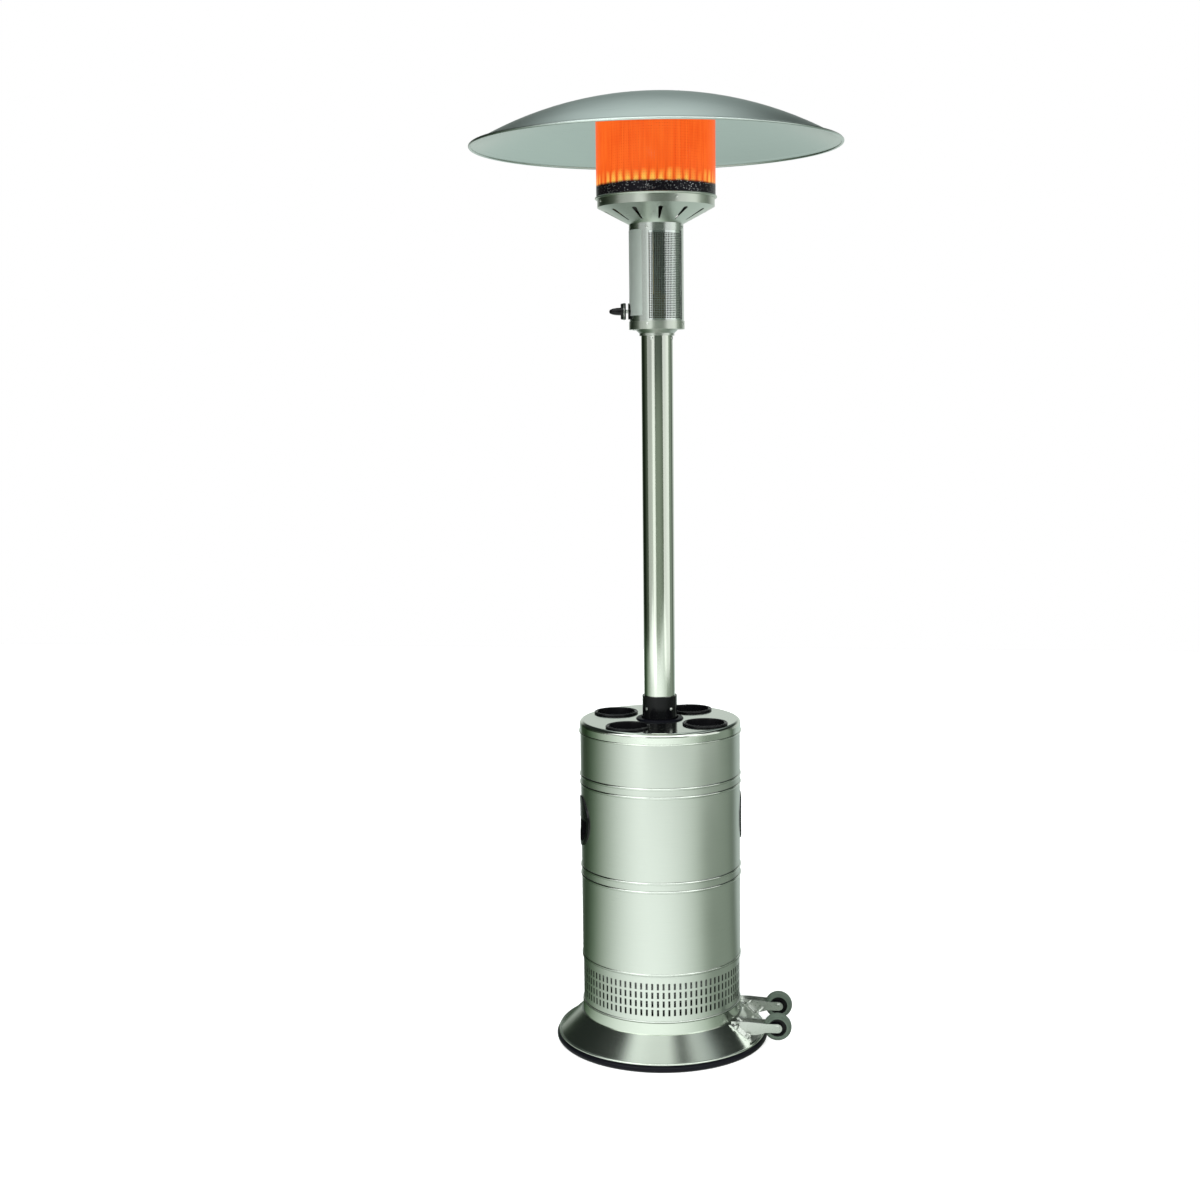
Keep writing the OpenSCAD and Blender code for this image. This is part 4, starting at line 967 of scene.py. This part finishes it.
# Inside the radius 0.0606 the housing is painted near black, as painted shade behind the window
BRIGHT_HEAD = Brushed("bright_head", (0.64, 0.68, 0.65), 0.23, Grain.UPRIGHT, 0.2, inside=0.0606)
BOWL_STEEL = Brushed("bowl_steel", (0.62, 0.66, 0.60), 0.29)
DOME_STEEL = Brushed("dome_steel", (0.60, 0.67, 0.645), 0.30, Grain.DISC, 0.3)
PLATE = Plated("bright_plate")
ZINC = Plated("zinc_plate", (0.26, 0.27, 0.27), 0.4, 0.2)
BLACK = Moulded("black_plastic", rough=0.22, gloss=0.2)
RUBBER = Moulded("black_rubber", (0.003, 0.003, 0.006), 0.4, 500.0, gloss=0.12)
TYRE = Moulded("grey_tyre", (0.105, 0.135, 0.108), 0.6, 420.0, 0.0001)
SOCKET_PAINT = Enamel("black_enamel", (0.002, 0.002, 0.003), 0.13, gloss=0.18)
TANK_PAINT = Enamel("pale_enamel", (0.42, 0.44, 0.43), 0.32, 180.0)
BRASS = Cast("turned_brass", (0.62, 0.46, 0.20), 0.3)
DULL_BRASS = Cast("dull_brass", (0.10, 0.075, 0.035), 0.45)
CASTING = Cast("grey_casting", (0.50, 0.52, 0.53), 0.48)
CERAMIC = Enamel("white_insulator", (0.80, 0.78, 0.72), 0.25)
TINTED = HeatTint("heat_tinted")
WINDOW_STEEL = Plated("window_steel", (0.74, 0.79, 0.77), 0.13, 0.06)
BARE_PLATE = BarePlate("bare_plate_finish")


@dataclass
class SubAssembly:
    """A part of the heater that is dressed, and made finer, by itself."""

    finishes: Finishes

    def build(self) -> None:
        """Dresses the nodes and adds the fine pieces."""
        raise NotImplementedError


@dataclass
class Foot(SubAssembly):
    """The weighted foot, its rubber edging, the slotted band and what stands on its floor."""

    steel: Colour = (0.62, 0.665, 0.60)
    rough: float = 0.20
    floor_r: float = 0.1835
    band_inner: float = 0.1839

    def build(self) -> None:
        """Dresses the foot's nodes."""
        dress = self.finishes.dress
        # The pan's floor and the band's inside are painted near black, as painted shade inside the
        # foot
        dress(Brushed("foot_steel", self.steel, self.rough, inside=self.floor_r), "base_pan")
        dress(Brushed("band_steel", inside=self.band_inner), "vent_band")
        dress(RUBBER, "base_trim")
        dress(ZINC, "base_stiffener", "cylinder_seat", "bridge", *(f"leg_{i}" for i in (1, 2, 3)))
        dress(PLATE, "frame_bolts", "caster_bolts", "axle_bolts")
        for side in ("front", "rear"):
            dress(PLATE, f"caster_fork_{side}")
            dress(TYRE, f"tyre_{side}")
            dress(BLACK, f"hub_{side}")


@dataclass
class Cover(SubAssembly):
    """The lift-up cover: shell, lid, cup holders and hand grips."""

    ridge_r: float = 0.1862

    def build(self) -> None:
        """Dresses the cover's nodes."""
        dress = self.finishes.dress
        dress(Brushed("shell_steel", proud=self.ridge_r), "cover_shell")
        dress(LID_STEEL, "cover_lid")
        dress(RUBBER, "lid_grommet")
        dress(BLACK, *(f"cup_holder_{i}" for i in (1, 2, 3, 4)))
        dress(BLACK, "hand_grip_1", "hand_grip_2")


@dataclass
class Post(SubAssembly):
    """The post, its black socket and the screws at both ends."""

    def build(self) -> None:
        """Dresses the post's nodes."""
        dress = self.finishes.dress
        dress(BRIGHT_POST, "post")
        dress(SOCKET_PAINT, "post_socket")
        dress(PLATE, "post_screws")
        dress(SATIN, "neck_adapter")


@dataclass
class ControlHead(SubAssembly):
    """The control housing: its window mesh, its bare plate and the knob."""

    radius: float = 0.0615
    sheet: float = 0.0012
    turn: float = -60.0
    window_half: float = 41.5
    plate_mid: float = -146.0
    plate_half: float = 29.0
    plate_low: float = 1.690
    plate_high: float = 1.880
    plate_thick: float = 0.0004
    mesh_thick: float = 0.0007
    mesh_gap: float = 0.0006
    mesh_overlap: float = 4.0
    mesh_margin: float = 0.008
    hole: float = 0.0016
    hole_columns: int = 24
    hole_rows: int = 50
    knob_turn: float = 187.0
    ring_reach: float = 0.0735
    ring_steps: int = 64

    def build(self) -> None:
        """Dresses the housing and adds its fine pieces."""
        dress = self.finishes.dress
        dress(BRIGHT_HEAD, "housing_shell")
        dress(BOWL_STEEL, "housing_base")
        dress(PLATE, "head_screws", "stem_collar", "valve_stem")
        dress(BLACK, "control_knob", "tilt_switch")
        dress(SOCKET_PAINT, "knob_bezel")
        dress(DULL_BRASS, "gas_valve")
        self.window()
        self.plate()
        self.knob_marks()

    def window(self) -> None:
        """The fine perforated sheet behind the window."""
        low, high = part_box("window_guard")
        reach = self.window_half + self.mesh_overlap
        mesh = CurvedMesh(
            radius=self.radius - self.sheet - self.mesh_gap,
            thick=self.mesh_thick,
            start=self.turn - reach,
            end=self.turn + reach,
            low=low.z,
            high=high.z,
            columns=self.hole_columns,
            rows=self.hole_rows,
            hole=self.hole,
            margin=self.mesh_margin,
        )
        steel = self.finishes.of(WINDOW_STEEL)
        mesh.piece("window_mesh", "frame", "stainless", steel, "window_guard")

    def plate(self) -> None:
        """The bare plate on the housing's left."""
        start, end = self.plate_mid - self.plate_half, self.plate_mid + self.plate_half
        plate = patch(self.radius, self.plate_thick, start, end, self.plate_low, self.plate_high)
        piece_from("bare_plate", plate, "frame", self.finishes.of(BARE_PLATE))

    def knob_marks(self) -> None:
        """The pale ring on the knob's skirt."""
        low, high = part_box("control_knob")
        axis = on_axis(1.0, self.knob_turn, 0.0)
        middle = Vector((0, 0, (low.z + high.z) / 2))
        outline = [
            (0.0182, 0.0),
            (0.0192, 0.0003),
            (0.0193, 0.0012),
            (0.0188, 0.0018),
            (0.0182, 0.0018),
        ]
        ring = lathe(outline, middle + axis * self.ring_reach, axis, self.ring_steps)
        piece_from("knob_ring", ring, "knob", self.finishes.of(PLATE))


@dataclass
class Burner(SubAssembly):
    """The burner: bowl, glowing screen, cap and the parts inside."""

    radius: float = 0.134
    sheet: float = 0.0012
    hole: float = 0.0007
    margin: float = 0.003
    columns: int = 144
    rows: int = 28

    def build(self) -> None:
        """Dresses the burner and adds its perforated screen."""
        dress = self.finishes.dress
        dress(BOWL_STEEL, "burner_bowl")
        dress(TINTED, "burner", "venturi", "emitter_cap")
        dress(BRASS, "pilot_burner", "thermocouple")
        dress(CERAMIC, "igniter_electrode")
        low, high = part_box("emitter_screen")
        middle = self.radius - self.sheet / 2
        mesh = CurvedMesh(
            radius=middle,
            thick=self.sheet,
            start=0.0,
            end=360.0,
            low=low.z,
            high=high.z,
            columns=self.columns,
            rows=self.rows,
            hole=self.hole,
            margin=self.margin,
        )
        glow = self.finishes.of(Glow("glowing_screen", low.z, middle))
        mesh.piece("emitter_mesh", "frame", "glow", glow, "emitter_screen")


@dataclass
class Reflector(SubAssembly):
    """The domed reflector on its three studs."""

    def build(self) -> None:
        """Dresses the reflector's nodes."""
        self.finishes.dress(DOME_STEEL, "reflector")
        self.finishes.dress(PLATE, "reflector_studs", "reflector_nuts")


@dataclass
class GasSupply(SubAssembly):
    """The gas cylinder inside the cover, its valve, regulator and hose."""

    def build(self) -> None:
        """Dresses the supply's nodes."""
        dress = self.finishes.dress
        dress(TANK_PAINT, "gas_cylinder")
        dress(BRASS, "cylinder_valve")
        dress(BLACK, "handwheel", "coupling_nut")
        dress(CASTING, "regulator")
        dress(RUBBER, "gas_hose")


@dataclass(frozen=True)
class Lamp:
    """A soft lamp that stands upright and faces the heater."""

    name: str
    turn: float
    away: float
    wide: float
    power: float
    tall: float = 2.4
    height: float = 1.5
    aim: Point = (0.0, 0.0, 1.2)

    def place(self) -> None:
        """Puts the lamp in the scene."""
        data = bpy.data.lights.new(self.name, "AREA")
        data.shape, data.energy = "RECTANGLE", self.power
        data.size, data.size_y = self.wide, self.tall
        lamp = new_object(self.name, data)
        lamp.location = on_axis(self.away, self.turn, self.height)
        lamp.rotation_mode = "QUATERNION"
        lamp.rotation_quaternion = (Vector(self.aim) - lamp.location).to_track_quat("-Z", "Y")


@dataclass
class Studio:
    """Plain pale floor, soft lights, the world's light and the camera.

    The world is told by how far a ray leans to the side over its height, by how far it goes
    to the front, and by its height. A band is where one of its lights starts and where it ends.
    """

    focal: float = 51.95
    sensor: float = 36.0
    stand: Point = (0.3351, -3.9616, 1.5373)
    facing: tuple[float, float] = (-0.1184, 0.9930)
    pitch: float = 7.094
    roll: float = 0.680
    sight: Band = (0.05, 60.0)
    floor_half: float = 6.0
    floor_glow: float = 0.66
    floor_colour: Colour = (0.85, 0.85, 0.85)
    floor_rough: float = 0.9
    light_from: float = -97.0
    rear_from: float = 4.0
    rear: Colour = (0.30, 0.36, 0.295)
    rear_band: Band = (0.78, 0.97)
    ceiling: Stops = (
        (0.30, (0.12, 0.15, 0.14)),
        (0.52, (0.20, 0.245, 0.235)),
        (0.66, (0.58, 0.65, 0.635)),
        (0.80, (0.76, 0.84, 0.83)),
        (0.93, (1.40, 1.48, 1.42)),
    )
    opening_left: Band = (-0.62, -0.34)
    opening_right: Band = (0.27, 0.10)
    skylight_left: Band = (0.30, 0.50)
    skylight_right: Band = (0.86, 0.62)
    skylight_share: float = 0.62
    eaves: Colour = (0.02, 0.026, 0.022)
    wall_top: Band = (0.16, 0.38)
    front: Band = (-0.2, -0.5)
    horizon: Colour = (0.08, 0.10, 0.085)
    horizon_band: Band = (-0.03, 0.03)
    sky: Colour = (2.7, 2.8, 2.75)
    sky_low: Band = (0.30, 0.40)
    sky_high: Band = (0.86, 0.76)
    walls: Stops = (
        (0.0, (0.74, 0.80, 0.75)),
        (0.07, (0.68, 0.73, 0.68)),
        (0.15, (0.03, 0.045, 0.028)),
        (0.28, (0.008, 0.014, 0.007)),
        (0.40, (0.015, 0.025, 0.013)),
        (0.5, (0.04, 0.055, 0.036)),
        (0.86, (0.18, 0.22, 0.165)),
        (0.97, (0.30, 0.36, 0.28)),
    )
    ground: Stops = (
        (0.0, (0.64, 0.74, 0.69)),
        (0.07, (0.58, 0.66, 0.62)),
        (0.15, (0.05, 0.08, 0.045)),
        (0.27, (0.02, 0.04, 0.018)),
        (0.38, (0.08, 0.13, 0.075)),
        (0.5, (0.20, 0.27, 0.19)),
        (0.63, (0.46, 0.54, 0.45)),
        (0.75, (0.70, 0.79, 0.70)),
        (1.0, (1.38, 1.47, 1.40)),
    )
    lamps: tuple[Lamp, ...] = (
        Lamp("key_strip", turn=-21.0, away=3.2, wide=3.1, power=20.0),
        Lamp("side_fill", turn=-133.0, away=3.2, wide=3.6, power=12.5),
        Lamp("side_glint", turn=-114.0, away=3.0, wide=1.1, power=4.6),
    )

    def build(self) -> None:
        """Sets the stage."""
        bpy.context.scene.view_settings.view_transform = "Standard"
        self.camera()
        self.floor()
        self.world()
        for lamp in self.lamps:
            lamp.place()

    def camera(self) -> None:
        """Puts the camera at the photograph's place."""
        data = bpy.data.cameras.new("camera")
        data.lens, data.sensor_width = self.focal, self.sensor
        data.clip_start, data.clip_end = self.sight
        pitch, roll = math.radians(self.pitch), math.radians(self.roll)
        level = math.cos(pitch)
        x, y = self.facing
        ahead = Vector((x * level, y * level, -math.sin(pitch))).normalized()
        right = ahead.cross(Vector((0, 0, 1))).normalized()
        above = right.cross(ahead)
        across = right * math.cos(roll) - above * math.sin(roll)
        up = right * math.sin(roll) + above * math.cos(roll)
        turn = Matrix((across, up, -ahead)).transposed().to_4x4()
        camera = new_object("camera", data)
        camera.matrix_world = Matrix.Translation(self.stand) @ turn
        bpy.context.scene.camera = camera

    def towards(self, tree: Tree, turn: float) -> Number:
        """How much a place lies in one direction from the post's axis, from -1 to 1.

        Args:
            tree: the tree whose place is asked.
            turn: the direction in degrees.

        Returns:
            The share.
        """
        x, y, _ = tree.axes()
        angle = math.radians(turn)
        return (x * math.cos(angle) + y * math.sin(angle)) / (tree.reach() + LEAST_REACH)

    def surround(self, tree: Tree, sides: Stops) -> bpy.types.NodeSocket:
        """Light that comes from each side of the post's axis.

        Args:
            tree: the tree whose place says the direction from the axis.
            sides: colours from straight behind (0) over the sides (0.5) to straight in front (1).

        Returns:
            The colour of that side.
        """
        lit = tree.ramp(self.towards(tree, self.light_from) * 0.5 + 0.5, sides)
        return tree.blend(self.towards(tree, self.rear_from).step(*self.rear_band), lit, self.rear)

    def floor(self) -> None:
        """A wide pale floor that keeps the object's shadow."""
        tree = Tree("floor_white")
        tree.set(Base_Color=self.floor_colour, Roughness=self.floor_rough, Specular_IOR_Level=0.0)
        rays = tree.add("ShaderNodeLightPath", {}, {})
        glow = Number(tree, rays.outputs["Is Camera Ray"]) * self.floor_glow
        seen = tree.add("ShaderNodeEmission", {}, {"Color": WHITE, "Strength": glow})
        both = {0: tree.shader.outputs[0], 1: seen.outputs[0]}
        pale = tree.add("ShaderNodeAddShader", {}, both)
        light = {"Color": self.surround(tree, self.ground), "Strength": 1.0}
        mirrored = tree.add("ShaderNodeEmission", {}, light)
        share = {0: rays.outputs["Is Glossy Ray"], 1: pale.outputs[0], 2: mirrored.outputs[0]}
        whole = tree.add("ShaderNodeMixShader", {}, share)
        tree.feed(tree.output.inputs["Surface"], whole.outputs[0])
        mesh = bmesh.new()
        bmesh.ops.create_grid(mesh, x_segments=1, y_segments=1, size=self.floor_half)
        new_object("floor", new_mesh("floor", mesh, tree.material))

    def world(self) -> None:
        """The studio's light all round, even overhead, and plain white where the camera sees it."""
        world = bpy.data.worlds.new("studio")
        bpy.context.scene.world = world
        tree = Tree("studio", world)
        across, away, height = tree.axes()
        side = across / (height.clamped() + LEAST_HEIGHT)
        opening = side.step(*self.opening_left) * side.step(*self.opening_right)
        skylight = side.step(*self.skylight_left) * side.step(*self.skylight_right)
        lit = opening + skylight * self.skylight_share
        above = tree.blend(lit, self.eaves, tree.ramp(height, self.ceiling))
        around = tree.blend(height.step(*self.wall_top), self.surround(tree, self.walls), above)
        front = away.step(*self.front)
        around = tree.blend(height.step(*self.horizon_band) * front, around, self.horizon)
        box = height.step(*self.sky_low) * height.step(*self.sky_high) * front
        around = tree.blend(box, around, self.sky)
        rays = tree.add("ShaderNodeLightPath", {}, {})
        seen = Number(tree, rays.outputs["Is Camera Ray"])
        tree.set(Color=tree.blend(seen, around, WHITE), Strength=1.0)


def main() -> None:
    """Builds every sub-assembly and the studio."""
    logging.basicConfig(level=logging.INFO, format="%(name)s: %(message)s")
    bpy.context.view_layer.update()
    finishes = Finishes()
    for part in (Foot, Cover, Post, ControlHead, Burner, Reflector, GasSupply):
        part(finishes).build()
        LOG.info("built %s", part.__name__)
    Studio().build()


if __name__ == "__main__":
    main()
